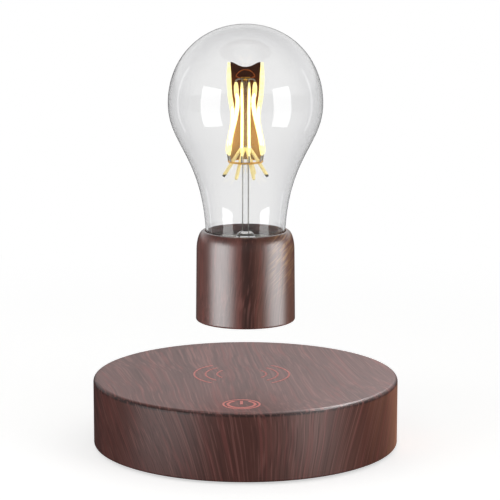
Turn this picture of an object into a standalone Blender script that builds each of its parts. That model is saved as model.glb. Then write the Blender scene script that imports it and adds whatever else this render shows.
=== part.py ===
"""Levitating lamp: a round base that holds a magnetic lifting module, and a light bulb in a
cap that floats above it. Metres, +Z up. The origin is on the table, under the middle of the base.
The inlet is at the back (+Y) and the touch mark at the front (-Y)."""
import math

import bmesh
import bpy
from mathutils import Vector

# Driving dimensions, in metres
SEAT_GAP = 0.0003            # between two pieces that touch

# Base housing
BASE_DIAMETER = 0.120
BASE_HEIGHT = 0.0275         # table to top face
BASE_WALL = 0.003
BASE_TOP_THICKNESS = 0.003
BASE_TOP_EDGE_RADIUS = 0.0016
BASE_LOWER_EDGE_RADIUS = 0.0008
FOOT_STANDOFF = 0.001        # how far the feet stand below the housing
FOOT_RADIUS = 0.006
FOOT_POCKET_DEPTH = 0.0008
FOOT_INSET = 0.0057          # foot's rim to the cover's rim
COVER_THICKNESS = 0.0025

# Screws
SCREW_SHANK_RADIUS = 0.0013
SCREW_HEAD_RADIUS = 0.0026
SCREW_HEAD_HEIGHT = 0.0014
SCREW_RECESS_WIDTH = 0.0007
SCREW_RECESS_DEPTH = 0.0008
SCREW_RECESS_RADIUS = 0.0017
SCREW_CLEARANCE = 0.0005     # module screw's head to the ring magnet
SCREW_BITE = 0.007           # how far a cover screw goes into its boss
SCREW_BOSS_RADIUS = 0.0035
BOSS_WALL_DISTANCE = 0.001   # boss's rim to the housing's inner wall
BOSS_SUNK = 0.001            # how far a boss is sunk into the top it grows from
PILOT_EXTRA_DEPTH = 0.001    # hole left past a screw's tip

# Boards
BOARD_THICKNESS = 0.0016
BOARD_RIM = 0.001            # board past the ring magnet
POST_RADIUS = 0.0028
POST_HEIGHT = 0.0025
CARRIER_THICKNESS = 0.0016
CARRIER_LEG_HEIGHT = 0.0031
CARRIER_LEG_RADIUS = 0.003
CHIP_SIZE = 0.008
CHIP_HEIGHT = 0.0012
BOARD_COIL_RADIUS = 0.004
BOARD_COIL_HEIGHT = 0.0022
BOARD_PARTS_INSET = 0.001    # the board's tall parts to the ring magnet's rim

# Lifting module
RING_MAGNET_WIDTH = 0.009
STEER_COIL_RADIUS = 0.0075
STEER_COIL_SPACING = 0.003   # between neighbouring steering coils
STEER_COIL_RIM = 0.002       # steering coils to the ring magnet
CORE_RADIUS = 0.003
CORE_PROUD = 0.0004          # core past the top of its coil
HALL_BOARD_THICKNESS = 0.001
HALL_BOARD_RIM = 0.001       # sensor board to the coils
HALL_SENSOR_SIZE = 0.0025
HALL_SENSOR_HEIGHT = 0.0012
TRANSMITTER_COIL_WIDTH = 0.010
TRANSMITTER_COIL_HEIGHT = 0.0019
FERRITE_THICKNESS = 0.001
FERRITE_RIM = 0.001          # ferrite past the coil, inside and outside
STACK_CLEARANCE = 0.0011     # ring magnet to the ferrite above it

# Touch sensor
TOUCH_INSET = 0.016          # touch mark's middle to the base's rim
TOUCH_BOARD_RADIUS = 0.0065
TOUCH_BOARD_THICKNESS = 0.001
TOUCH_COIL_CLEARANCE = 0.0015
TOUCH_LEAD_RADIUS = 0.0006
TOUCH_LEAD_BOW = 0.0008
BOARD_TONGUE_MARGIN = 0.003

# Inlet
JACK_WIDTH = 0.009
JACK_HEIGHT = 0.011
JACK_LENGTH = 0.014
JACK_AXIS_HEIGHT = 0.0065    # above the jack's underside
JACK_BORE_RADIUS = 0.00315
JACK_BORE_DEPTH = 0.0095
JACK_PIN_RADIUS = 0.001
JACK_PIN_RECESS = 0.0015
JACK_WALL_CLEARANCE = 0.0005
INLET_HOLE_RADIUS = 0.0043

# Floating unit
FLOAT_GAP = 0.0225           # base's top to the cap's underside, lamp switched on
NECK_DIAMETER = 0.03114      # glass neck, outside
GLASS_THICKNESS = 0.0008
NECK_INSERT_DEPTH = 0.014    # glass below the cap's top
CAP_HEIGHT = 0.0355
CAP_LIP_WIDTH = 0.0005
CAP_SHOULDER_WIDTH = 0.0028
CAP_SHOULDER_HEIGHT = 0.0077
CAP_TAPER = 0.0003           # cap is this much wider in radius at the bottom
CAP_WALL = 0.0019
CAP_LIP_HEIGHT = 0.0025      # straight part of the mouth
CAP_LIP_CONE = 0.0015
CAP_LOWER_EDGE_RADIUS = 0.0008
CAP_BOTTOM_THICKNESS = 0.0015
FLOAT_MAGNET_HEIGHT = 0.0065
RECEIVER_COIL_WIDTH = 0.0035
RECEIVER_COIL_HEIGHT = 0.0035
FRAME_THICKNESS = 0.0012
FRAME_POST_HEIGHT = 0.002
FRAME_POST_RADIUS = 0.0015
FRAME_POST_CIRCLE = 0.012
RECEIVER_BOARD_THICKNESS = 0.001
RECEIVER_BOARD_RIM = 0.0015  # board to the cap's inner wall
RECEIVER_PART_HEIGHT = 0.0015
RECEIVER_PART_SIZE = 0.005
COLLAR_FLOOR_THICKNESS = 0.0012
COLLAR_FLOOR_OVERLAP = 0.0028  # collar's floor reaches this far inside the glass's outer rim

# Glass bulb, heights above the cap's top
BULB_DIAMETER = 0.060
BULB_WIDEST_HEIGHT = 0.0498
BULB_CROWN_HEIGHT = 0.0305   # widest ring to the top of the glass
CROWN_TOP_HANDLE = 0.0172
CROWN_SIDE_HANDLE = 0.0174
SHOULDER_TOP_HANDLE = 0.0154
SHOULDER_NECK_HANDLE = 0.0290
SHOULDER_NECK_FLARE = 0.0018
NECK_STRAIGHT_HEIGHT = 0.0008

# Stem and filaments, heights above the cap's top
STEM_ROD_RADIUS = 0.001
STEM_FLARE_HEIGHT = 0.006
STEM_TUBE_RADIUS = 0.0042
STEM_WALL = 0.0009
STEM_TUBE_HEIGHT = 0.0040
STEM_PRESS_HEIGHT = 0.0035
HUB_HEIGHT = 0.0594          # middle of the small hub at the rod's top
HUB_RADIUS = 0.0019
HUB_THICKNESS = 0.0011
RING_HEIGHT = 0.0274
RING_RADIUS = 0.00655
RING_WIRE_RADIUS = 0.0004
SPIDER_HUB_WALL = 0.0007
SPIDER_HUB_HEIGHT = 0.0016
SPIDER_RISE = 0.0047         # spider's hub above the ring
SPIDER_LEG_DROP = 0.0060     # legs' feet below the ring
SPIDER_FOOT_RADIUS = 0.0086
SPIDER_KNEE_GAP = 0.0016     # leg's middle line inside the ring
SPIDER_LEG_RADIUS = 0.0007
SPIDER_LEG_ANGLES = (0, 65, 112, 180, 245, 292)
LEAD_RADIUS = 0.00025
LEAD_OFFSET = 0.0024
LEAD_ANGLE = 300             # the two leads leave the press here and opposite
LEAD_TOP_ANGLE = 326         # at the ring they stand clear of the spider's legs
FILAMENT_RADIUS = 0.00085
THIN_FILAMENT_RADIUS = 0.00055
FILAMENT_LEAD_RADIUS = 0.0003
FILAMENT_END_LENGTH = 0.0003
FILAMENT_BEND = 0.0007       # lead's bend over a filament's upper end
FILAMENT_BEND_CUT = 0.3      # how far the bend's corner is drawn in, as a share of the bend
OUTER_RISE = 0.0061          # outer filaments' upper ends above the hub's middle
FILAMENT_FOOT_RISE = 0.0022  # filaments' lower ends above their seats on the ring
PLATE_THICKNESS = 0.0004
PLATE_OFFSET = 0.0013        # plate's front face behind the rod's middle
PLATE_TOP_RISE = 0.0062       # plate's top corners above the hub's middle
PLATE_SADDLE_DIP = 0.0019
PLATE_TOP_HALF_WIDTH = 0.0058
PLATE_WAIST_HALF_WIDTH = 0.0045
PLATE_FOOT_HALF_WIDTH = 0.0061
PLATE_NOTCH_HALF_WIDTH = 0.0028
PLATE_NOTCH_HEIGHT = 0.0010  # notch above the spider's hub
PLATE_CREST_REACH = 0.7      # how far out the saddle's slope starts, as a share of the half width
# Plate and filaments keep their upper width, swing in to the waist and out again to the foot. The
# handles of each of these two curves are shares of the height from the waist to its end
UPPER_HANDLES = (0.12, 0.35)
LOWER_HANDLES = (0.30, 0.62)

# Filaments stand in pairs, one left and one right of the middle. Each pair: name, radius, how far
# its upper ends stand above the hub or None where leads join them to the hub, and the places (x, y)
# of the right one's upper end, waist and lower end
FILAMENT_PAIRS = (
    ("filament", FILAMENT_RADIUS, OUTER_RISE, (0.0064, 0), (0.0048, 0), (0.0069, 0)),
    ("filament_front", FILAMENT_RADIUS, None, (0.0039, -0.0042), (0.0040, -0.0040), (0.0063, -0.0038)),
    ("filament_front_middle", THIN_FILAMENT_RADIUS, None,
     (0.0014, -0.0052), (0.0013, -0.0052), (0.0014, -0.0062)),
    ("filament_back", FILAMENT_RADIUS, None, (0.0039, 0.0044), (0.0040, 0.0042), (0.0063, 0.0038)),
)

# Angles round the axis, in degrees from +X
FOOT_ANGLES = (0, 90, 180, 270)
CORNER_ANGLES = (45, 135, 225, 315)   # screws, bosses and posts stand between the feet
BOARD_COIL_ANGLES = (20, 110, 200, 290)
STEER_COIL_ANGLES = (0, 90, 180, 270)
FRAME_POST_ANGLES = (30, 150, 270)
RECEIVER_PART_ANGLES = (90, 270)

# Steps round a turned piece, and along its curved edges
LARGE_STEPS = 64
FLOAT_STEPS = 44
MIDDLE_STEPS = 32
SMALL_STEPS = 16
LEAD_HOLE_STEPS = 12
WIRE_SIDES = 6
TOP_EDGE_STEPS = 4
LOWER_EDGE_STEPS = 2
CAP_SHOULDER_STEPS = 6
CROWN_STEPS = 8
BULB_SHOULDER_STEPS = 9
PLATE_TOP_STEPS = 5
WAIST_STEPS = 6              # from an end to the waist
TOUCH_LEAD_STEPS = 8

FULL_TURN = 2 * math.pi
QUARTER = math.pi / 2
MERGE_DISTANCE = 0.00001
SHARP_ANGLE = math.radians(35)

# Sizes and places worked out from these
base_radius = BASE_DIAMETER / 2
base_inner_radius = base_radius - BASE_WALL
base_ceiling = BASE_HEIGHT - BASE_TOP_THICKNESS
cover_radius = base_inner_radius - SEAT_GAP
cover_top = FOOT_STANDOFF + COVER_THICKNESS
foot_circle = cover_radius - FOOT_INSET - FOOT_RADIUS
boss_circle = base_inner_radius - BOSS_WALL_DISTANCE - SCREW_BOSS_RADIUS
post_top = cover_top + POST_HEIGHT
board_bottom = post_top + SEAT_GAP
board_top = board_bottom + BOARD_THICKNESS
carrier_bottom = board_top + CARRIER_LEG_HEIGHT
carrier_top = carrier_bottom + CARRIER_THICKNESS
module_floor = carrier_top + SEAT_GAP
transmitter_top = base_ceiling - SEAT_GAP
transmitter_bottom = transmitter_top - TRANSMITTER_COIL_HEIGHT
ferrite_top = transmitter_bottom - SEAT_GAP
ferrite_bottom = ferrite_top - FERRITE_THICKNESS
magnet_top = ferrite_bottom - STACK_CLEARANCE
jack_front = base_inner_radius - JACK_WALL_CLEARANCE
# Four equal coils in a ring: neighbours are sqrt(2) times their circle's radius apart
steer_coil_circle = (2 * STEER_COIL_RADIUS + STEER_COIL_SPACING) / math.sqrt(2)
ring_magnet_inner = steer_coil_circle + STEER_COIL_RADIUS + STEER_COIL_RIM
ring_magnet_outer = ring_magnet_inner + RING_MAGNET_WIDTH
board_parts_circle = ring_magnet_outer - BOARD_PARTS_INSET - BOARD_COIL_RADIUS
hall_board_radius = steer_coil_circle - STEER_COIL_RADIUS - HALL_BOARD_RIM
post_circle = ring_magnet_inner - SCREW_HEAD_RADIUS - SCREW_CLEARANCE
touch_distance = base_radius - TOUCH_INSET
transmitter_outer = touch_distance - TOUCH_BOARD_RADIUS - TOUCH_COIL_CLEARANCE - FERRITE_RIM
transmitter_inner = transmitter_outer - TRANSMITTER_COIL_WIDTH
jack_bottom = board_top + SEAT_GAP
jack_axis = jack_bottom + JACK_AXIS_HEIGHT

# Heights in the floating unit are above the cap's underside
neck_radius = NECK_DIAMETER / 2
neck_inner_radius = neck_radius - GLASS_THICKNESS
mouth_radius = neck_radius + SEAT_GAP
cap_upper_radius = mouth_radius + CAP_LIP_WIDTH + CAP_SHOULDER_WIDTH
cap_lower_radius = cap_upper_radius + CAP_TAPER
cap_inner_radius = cap_upper_radius - CAP_WALL
cap_filling_radius = cap_inner_radius - SEAT_GAP
float_magnet_bottom = CAP_BOTTOM_THICKNESS + SEAT_GAP
float_magnet_top = float_magnet_bottom + FLOAT_MAGNET_HEIGHT
receiver_coil_inner = cap_filling_radius - RECEIVER_COIL_WIDTH
float_magnet_radius = receiver_coil_inner - SEAT_GAP
frame_bottom = float_magnet_top + SEAT_GAP
frame_top = frame_bottom + FRAME_THICKNESS
frame_post_top = frame_top + FRAME_POST_HEIGHT
receiver_board_bottom = frame_post_top + SEAT_GAP
receiver_board_top = receiver_board_bottom + RECEIVER_BOARD_THICKNESS
neck_bottom = CAP_HEIGHT - NECK_INSERT_DEPTH
collar_floor_top = neck_bottom - SEAT_GAP
collar_top = CAP_HEIGHT - CAP_LIP_HEIGHT - CAP_LIP_CONE - SEAT_GAP
bulb_radius = BULB_DIAMETER / 2
ring_height = CAP_HEIGHT + RING_HEIGHT
ring_seat_height = ring_height + RING_WIRE_RADIUS + SEAT_GAP
hub_height = CAP_HEIGHT + HUB_HEIGHT
hub_bottom = hub_height - HUB_THICKNESS / 2
spider_height = ring_height + SPIDER_RISE
spider_bore = STEM_ROD_RADIUS + SEAT_GAP
spider_hub_radius = spider_bore + SPIDER_HUB_WALL
spider_knee_radius = RING_RADIUS - SPIDER_KNEE_GAP
filament_waist_height = (hub_height + PLATE_TOP_RISE + ring_seat_height) / 2


def clear_scene():
    for item in list(bpy.data.objects):
        bpy.data.objects.remove(item, do_unlink=True)


def new_collection(name):
    collection = bpy.data.collections.new(name)
    bpy.context.scene.collection.children.link(collection)
    return collection


def new_material(name, color, roughness, metallic=0.0, alpha=1.0):
    material = bpy.data.materials.new(name)
    material.use_nodes = True
    shader = material.node_tree.nodes["Principled BSDF"]
    shader.inputs["Base Color"].default_value = (*color, 1.0)
    shader.inputs["Roughness"].default_value = roughness
    shader.inputs["Metallic"].default_value = metallic
    shader.inputs["Alpha"].default_value = alpha
    material.diffuse_color = (*color, alpha)
    return material


def place(name, data, material, collection=None, parent=None, location=(0, 0, 0), rotation=(0, 0, 0)):
    """Put a mesh or curve in the part, under its own name."""
    item = bpy.data.objects.new(name, data)
    (collection or parts).objects.link(item)
    item.location = location
    item.rotation_euler = rotation
    if parent:
        item.parent = parent
    if not data.materials:
        data.materials.append(material)
    return item


def arc(middle_r, middle_z, radius_r, radius_z, start, end, steps):
    """Points along a quarter ellipse, angles in degrees from +r towards +z."""
    points = []
    for step in range(steps + 1):
        angle = math.radians(start + (end - start) * step / steps)
        points.append((middle_r + radius_r * math.cos(angle), middle_z + radius_z * math.sin(angle)))
    return points


def bezier(start, start_handle, end_handle, end, steps):
    """Points along a cubic curve, both ends included."""
    corners = [Vector(point) for point in (start, start_handle, end_handle, end)]
    points = []
    for step in range(steps + 1):
        t = step / steps
        weights = ((1 - t) ** 3, 3 * (1 - t) ** 2 * t, 3 * (1 - t) * t ** 2, t ** 3)
        point = corners[0] * weights[0]
        for corner, weight in zip(corners[1:], weights[1:]):
            point += corner * weight
        points.append(tuple(point))
    return points


def waist_curve(upper, waist, lower, steps):
    """Points (x, y, z) from an upper end through a waist to a lower end, upright at all three."""

    def handle(point, end, share):
        return point[0], point[1], waist[2] + (end[2] - waist[2]) * share

    first, second = UPPER_HANDLES
    points = bezier(upper, handle(upper, upper, first), handle(waist, upper, second), waist, steps)
    first, second = LOWER_HANDLES
    points += bezier(waist, handle(waist, lower, first), handle(lower, lower, second), lower, steps)[1:]
    return points


def turned(name, outline, material, steps, closed=False, parent=None, location=(0, 0, 0)):
    """Turn an outline of (radius, height) points, which runs down its outer side."""
    mesh = bpy.data.meshes.new(name)
    edges = [(index, index + 1) for index in range(len(outline) - 1)]
    if closed:
        edges.append((len(outline) - 1, 0))
    mesh.from_pydata([(radius, 0, height) for radius, height in outline], edges, [])
    item = place(name, mesh, material, parent=parent, location=location)
    screw = item.modifiers.new("turn", "SCREW")
    screw.axis = "Z"
    screw.angle = FULL_TURN
    screw.steps = steps
    screw.render_steps = steps
    screw.use_merge_vertices = True
    screw.merge_threshold = MERGE_DISTANCE
    screw.use_smooth_shade = True
    return item


def ring(name, inner, outer, bottom, top, material, steps, parent=None, location=(0, 0, 0)):
    outline = [(outer, top), (outer, bottom), (inner, bottom), (inner, top)]
    return turned(name, outline, material, steps, True, parent, location)


def disc(name, radius, bottom, top, material, steps, parent=None, location=(0, 0, 0)):
    outline = [(0, top), (radius, top), (radius, bottom), (0, bottom)]
    return turned(name, outline, material, steps, False, parent, location)


def rod_mesh(name, radius, bottom, top, sides=SMALL_STEPS):
    shape = bmesh.new()
    bmesh.ops.create_cone(shape, cap_ends=True, segments=sides, radius1=radius, radius2=radius,
                          depth=top - bottom)
    bmesh.ops.translate(shape, verts=shape.verts, vec=(0, 0, (top + bottom) / 2))
    mesh = bpy.data.meshes.new(name)
    shape.to_mesh(mesh)
    shape.free()
    return mesh


def box_mesh(name, low, high):
    shape = bmesh.new()
    bmesh.ops.create_cube(shape, size=1)
    size = [high[axis] - low[axis] for axis in range(3)]
    middle = [(high[axis] + low[axis]) / 2 for axis in range(3)]
    bmesh.ops.scale(shape, verts=shape.verts, vec=size)
    bmesh.ops.translate(shape, verts=shape.verts, vec=middle)
    mesh = bpy.data.meshes.new(name)
    shape.to_mesh(mesh)
    shape.free()
    return mesh


def tool(name, mesh, parent=None, location=(0, 0, 0), rotation=(0, 0, 0)):
    """A shape that only cuts or joins another."""
    item = place(name, mesh, cutter_material, cutters, parent, location, rotation)
    item.hide_render = True
    item.display_type = "WIRE"
    return item


def combine(item, other, operation):
    step = item.modifiers.new(other.name, "BOOLEAN")
    step.operation = operation
    step.solver = "EXACT"
    step.object = other


def cut(item, other):
    combine(item, other, "DIFFERENCE")


def join(item, other):
    combine(item, other, "UNION")


def round_shading(mesh):
    mesh.shade_smooth()
    mesh.set_sharp_from_angle(angle=SHARP_ANGLE)


def evaluated_mesh(item):
    depsgraph = bpy.context.evaluated_depsgraph_get()
    return bpy.data.meshes.new_from_object(item.evaluated_get(depsgraph))


def on_circle(radius, degrees, height=0.0):
    angle = math.radians(degrees)
    return Vector((radius * math.cos(angle), radius * math.sin(angle), height))


def wire_curve(name, points, radius, radii=None):
    """A round wire along the points; radii gives each point's radius where it changes."""
    curve = bpy.data.curves.new(name, "CURVE")
    curve.dimensions = "3D"
    curve.bevel_depth = radius
    curve.bevel_resolution = 2
    curve.use_fill_caps = True
    spline = curve.splines.new("POLY")
    spline.points.add(len(points) - 1)
    for index, point in enumerate(points):
        spline.points[index].co = (*point, 1)
        if radii:
            spline.points[index].radius = radii[index] / radius
    return curve


def wire_mesh(name, points, radius, radii=None):
    """The same wire as a closed mesh, for joining to another piece."""
    item = bpy.data.objects.new(name, wire_curve(name, points, radius, radii))
    cutters.objects.link(item)
    bpy.context.view_layer.update()
    mesh = evaluated_mesh(item)
    shape = bmesh.new()
    shape.from_mesh(mesh)
    bmesh.ops.remove_doubles(shape, verts=shape.verts, dist=MERGE_DISTANCE)
    bmesh.ops.recalc_face_normals(shape, faces=shape.faces)
    shape.to_mesh(mesh)
    shape.free()
    bpy.data.objects.remove(item, do_unlink=True)
    return mesh


def screw_shape(name, length):
    """A screw with its head's face at height 0, pointing up, with a cross recess."""
    outline = [(0, length), (SCREW_SHANK_RADIUS, length), (SCREW_SHANK_RADIUS, SCREW_HEAD_HEIGHT),
               (SCREW_HEAD_RADIUS, SCREW_HEAD_HEIGHT), (SCREW_HEAD_RADIUS, 0), (0, 0)]
    item = turned(name, outline, steel, SMALL_STEPS)
    for index in range(2):
        low = (-SCREW_RECESS_RADIUS, -SCREW_RECESS_WIDTH / 2, -SCREW_RECESS_DEPTH)
        high = (SCREW_RECESS_RADIUS, SCREW_RECESS_WIDTH / 2, SCREW_RECESS_DEPTH)
        slot = tool(f"{name}_slot_{index}", box_mesh(name, low, high), rotation=(0, 0, index * QUARTER))
        cut(item, slot)
    bpy.context.view_layer.update()
    mesh = evaluated_mesh(item)
    bpy.data.objects.remove(item, do_unlink=True)
    return mesh


def build_base_shell():
    lower = FOOT_STANDOFF
    outline = [(0, BASE_HEIGHT)]
    outline += arc(base_radius - BASE_TOP_EDGE_RADIUS, BASE_HEIGHT - BASE_TOP_EDGE_RADIUS,
                   BASE_TOP_EDGE_RADIUS, BASE_TOP_EDGE_RADIUS, 90, 0, TOP_EDGE_STEPS)
    outline += arc(base_radius - BASE_LOWER_EDGE_RADIUS, lower + BASE_LOWER_EDGE_RADIUS,
                   BASE_LOWER_EDGE_RADIUS, BASE_LOWER_EDGE_RADIUS, 0, -90, LOWER_EDGE_STEPS)
    outline += [(base_inner_radius, lower), (base_inner_radius, base_ceiling), (0, base_ceiling)]
    shell = turned("base_shell", outline, dark_wood, LARGE_STEPS)
    for index, turn in enumerate(CORNER_ANGLES):
        spot = on_circle(boss_circle, turn)
        boss = rod_mesh("boss", SCREW_BOSS_RADIUS, cover_top + SEAT_GAP, base_ceiling + BOSS_SUNK)
        join(shell, tool(f"boss_{index + 1}", boss, location=spot))
        pilot_top = FOOT_STANDOFF + SCREW_HEAD_HEIGHT + SEAT_GAP + COVER_THICKNESS + SCREW_BITE
        pilot = rod_mesh("pilot", SCREW_SHANK_RADIUS + SEAT_GAP, 0, pilot_top + PILOT_EXTRA_DEPTH)
        cut(shell, tool(f"boss_pilot_{index + 1}", pilot, location=spot))
    hole = rod_mesh("inlet_hole", INLET_HOLE_RADIUS, 0, 2 * BASE_WALL, MIDDLE_STEPS)
    middle = (0, base_radius + BASE_WALL / 2, jack_axis)
    cut(shell, tool("inlet_hole", hole, location=middle, rotation=(QUARTER, 0, 0)))
    return shell


def build_bottom_cover():
    cover = disc("bottom_cover", cover_radius, FOOT_STANDOFF, cover_top, black_plastic, FLOAT_STEPS)
    for index, turn in enumerate(CORNER_ANGLES):
        spot = on_circle(post_circle, turn)
        post = rod_mesh("post", POST_RADIUS, cover_top - COVER_THICKNESS / 2, post_top)
        join(cover, tool(f"post_{index + 1}", post, location=spot))
        pilot = rod_mesh("post_pilot", SCREW_SHANK_RADIUS + SEAT_GAP,
                         cover_top - COVER_THICKNESS / 2, post_top + SEAT_GAP)
        cut(cover, tool(f"post_pilot_{index + 1}", pilot, location=spot))
        spot = on_circle(boss_circle, turn)
        hole = rod_mesh("screw_hole", SCREW_SHANK_RADIUS + SEAT_GAP, 0, cover_top + SEAT_GAP)
        cut(cover, tool(f"screw_hole_{index + 1}", hole, location=spot))
        seat = rod_mesh("screw_seat", SCREW_HEAD_RADIUS + SEAT_GAP, 0,
                        FOOT_STANDOFF + SCREW_HEAD_HEIGHT + 2 * SEAT_GAP)
        cut(cover, tool(f"screw_seat_{index + 1}", seat, location=spot))
    for index, turn in enumerate(FOOT_ANGLES):
        pocket = rod_mesh("foot_pocket", FOOT_RADIUS + SEAT_GAP, 0, FOOT_STANDOFF + FOOT_POCKET_DEPTH)
        cut(cover, tool(f"foot_pocket_{index + 1}", pocket, location=on_circle(foot_circle, turn)))
    return cover


def build_feet():
    foot_top = FOOT_STANDOFF + FOOT_POCKET_DEPTH - SEAT_GAP
    mesh = rod_mesh("foot", FOOT_RADIUS, 0, foot_top, MIDDLE_STEPS)
    round_shading(mesh)
    for index, turn in enumerate(FOOT_ANGLES):
        place(f"foot_{index + 1}", mesh, rubber, location=on_circle(foot_circle, turn))


def build_cover_screws():
    head_face = FOOT_STANDOFF + SEAT_GAP
    tip = cover_top + SEAT_GAP + SCREW_BITE
    mesh = screw_shape("cover_screw", tip - head_face)
    for index, turn in enumerate(CORNER_ANGLES):
        spot = on_circle(boss_circle, turn, head_face)
        place(f"cover_screw_{index + 1}", mesh, steel, location=spot)


def build_main_board():
    radius = ring_magnet_outer + BOARD_RIM
    board = disc("main_board", radius, board_bottom, board_top, green_board, MIDDLE_STEPS)
    inside = ring_magnet_outer - BOARD_TONGUE_MARGIN
    back = box_mesh("board_back", (-JACK_WIDTH / 2 - BOARD_RIM, inside, board_bottom),
                    (JACK_WIDTH / 2 + BOARD_RIM, jack_front - BOARD_RIM, board_top))
    join(board, tool("board_back", back))
    front = box_mesh("board_front", (-BOARD_TONGUE_MARGIN, -touch_distance - BOARD_TONGUE_MARGIN,
                                     board_bottom), (BOARD_TONGUE_MARGIN, -inside, board_top))
    join(board, tool("board_front", front))
    half = CHIP_SIZE / 2
    chip = box_mesh("chip", (-half, -half, board_top - BOARD_THICKNESS / 2),
                    (half, half, board_top + CHIP_HEIGHT))
    join(board, tool("chip", chip))
    for index, turn in enumerate(BOARD_COIL_ANGLES):
        inductor = rod_mesh("board_coil", BOARD_COIL_RADIUS, board_top - BOARD_THICKNESS / 2,
                            board_top + BOARD_COIL_HEIGHT)
        spot = on_circle(board_parts_circle, turn)
        join(board, tool(f"board_coil_{index + 1}", inductor, location=spot))
    for index, turn in enumerate(CORNER_ANGLES):
        hole = rod_mesh("board_hole", SCREW_SHANK_RADIUS + SEAT_GAP, 0, board_top + SEAT_GAP)
        cut(board, tool(f"board_hole_{index + 1}", hole, location=on_circle(post_circle, turn)))
    return board


def build_module_carrier():
    carrier = disc("module_carrier", ring_magnet_outer, carrier_bottom, carrier_top, white_plastic,
                   MIDDLE_STEPS)
    for index, turn in enumerate(CORNER_ANGLES):
        spot = on_circle(post_circle, turn)
        leg = rod_mesh("carrier_leg", CARRIER_LEG_RADIUS, board_top + SEAT_GAP,
                       carrier_top - CARRIER_THICKNESS / 2)
        join(carrier, tool(f"carrier_leg_{index + 1}", leg, location=spot))
        hole = rod_mesh("carrier_hole", SCREW_SHANK_RADIUS + SEAT_GAP, board_bottom, carrier_top + SEAT_GAP)
        cut(carrier, tool(f"carrier_hole_{index + 1}", hole, location=spot))
    return carrier


def build_module_screws():
    head_face = module_floor + SCREW_HEAD_HEIGHT
    tip = cover_top + SEAT_GAP
    mesh = screw_shape("module_screw", head_face - tip)
    for index, turn in enumerate(CORNER_ANGLES):
        spot = on_circle(post_circle, turn, head_face)
        place(f"module_screw_{index + 1}", mesh, steel, location=spot, rotation=(math.pi, 0, 0))


def build_lifting_module():
    ring("ring_magnet", ring_magnet_inner, ring_magnet_outer, module_floor, magnet_top, magnet, MIDDLE_STEPS)
    coil_top = magnet_top - CORE_PROUD
    for index, turn in enumerate(STEER_COIL_ANGLES):
        spot = on_circle(steer_coil_circle, turn)
        ring(f"coil_{index + 1}", CORE_RADIUS + SEAT_GAP, STEER_COIL_RADIUS, module_floor, coil_top,
             copper_winding, MIDDLE_STEPS, location=spot)
        disc(f"coil_core_{index + 1}", CORE_RADIUS, module_floor, magnet_top, iron, SMALL_STEPS,
             location=spot)
    hall_top = module_floor + HALL_BOARD_THICKNESS
    board = disc("hall_board", hall_board_radius, module_floor, hall_top, green_board, SMALL_STEPS)
    half = HALL_SENSOR_SIZE / 2
    sensor = box_mesh("hall_sensor", (-half, -half, hall_top - HALL_BOARD_THICKNESS / 2),
                      (half, half, hall_top + HALL_SENSOR_HEIGHT))
    join(board, tool("hall_sensor", sensor))
    ring("transmitter_coil", transmitter_inner, transmitter_outer, transmitter_bottom, transmitter_top,
         copper_winding, MIDDLE_STEPS)
    ring("transmitter_ferrite", transmitter_inner - FERRITE_RIM, transmitter_outer + FERRITE_RIM,
         ferrite_bottom, ferrite_top, ferrite, MIDDLE_STEPS)


def build_touch_sensor():
    top = base_ceiling - SEAT_GAP
    bottom = top - TOUCH_BOARD_THICKNESS
    disc("touch_board", TOUCH_BOARD_RADIUS, bottom, top, green_board, MIDDLE_STEPS,
         location=(0, -touch_distance, 0))
    start = Vector((0, -touch_distance, bottom - SEAT_GAP - TOUCH_LEAD_RADIUS / 2))
    end = Vector((0, -touch_distance, board_top + SEAT_GAP))
    points = []
    for step in range(TOUCH_LEAD_STEPS + 1):
        t = step / TOUCH_LEAD_STEPS
        bow = Vector((TOUCH_LEAD_BOW * math.sin(FULL_TURN * t), 0, 0))
        points.append(start.lerp(end, t) + bow)
    place("touch_lead", wire_curve("touch_lead", points, TOUCH_LEAD_RADIUS), black_plastic)


def build_inlet():
    """The jack's bore has a pin in its middle, so the bore is a ring-shaped pocket with an open mouth."""
    low = (-JACK_WIDTH / 2, jack_front - JACK_LENGTH, jack_bottom)
    high = (JACK_WIDTH / 2, jack_front, jack_bottom + JACK_HEIGHT)
    jack = place("dc_jack", box_mesh("dc_jack", low, high), black_plastic)
    floor = jack_front - JACK_BORE_DEPTH
    bore = rod_mesh("jack_bore", JACK_BORE_RADIUS, -JACK_BORE_DEPTH, JACK_BORE_DEPTH)
    cut(jack, tool("jack_bore", bore, location=(0, jack_front, jack_axis), rotation=(QUARTER, 0, 0)))
    pin_length = JACK_BORE_DEPTH - JACK_PIN_RECESS
    pin = rod_mesh("jack_pin", JACK_PIN_RADIUS, -pin_length, JACK_PIN_RADIUS)
    join(jack, tool("jack_pin", pin, location=(0, floor, jack_axis), rotation=(QUARTER, 0, 0)))
    return jack


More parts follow.
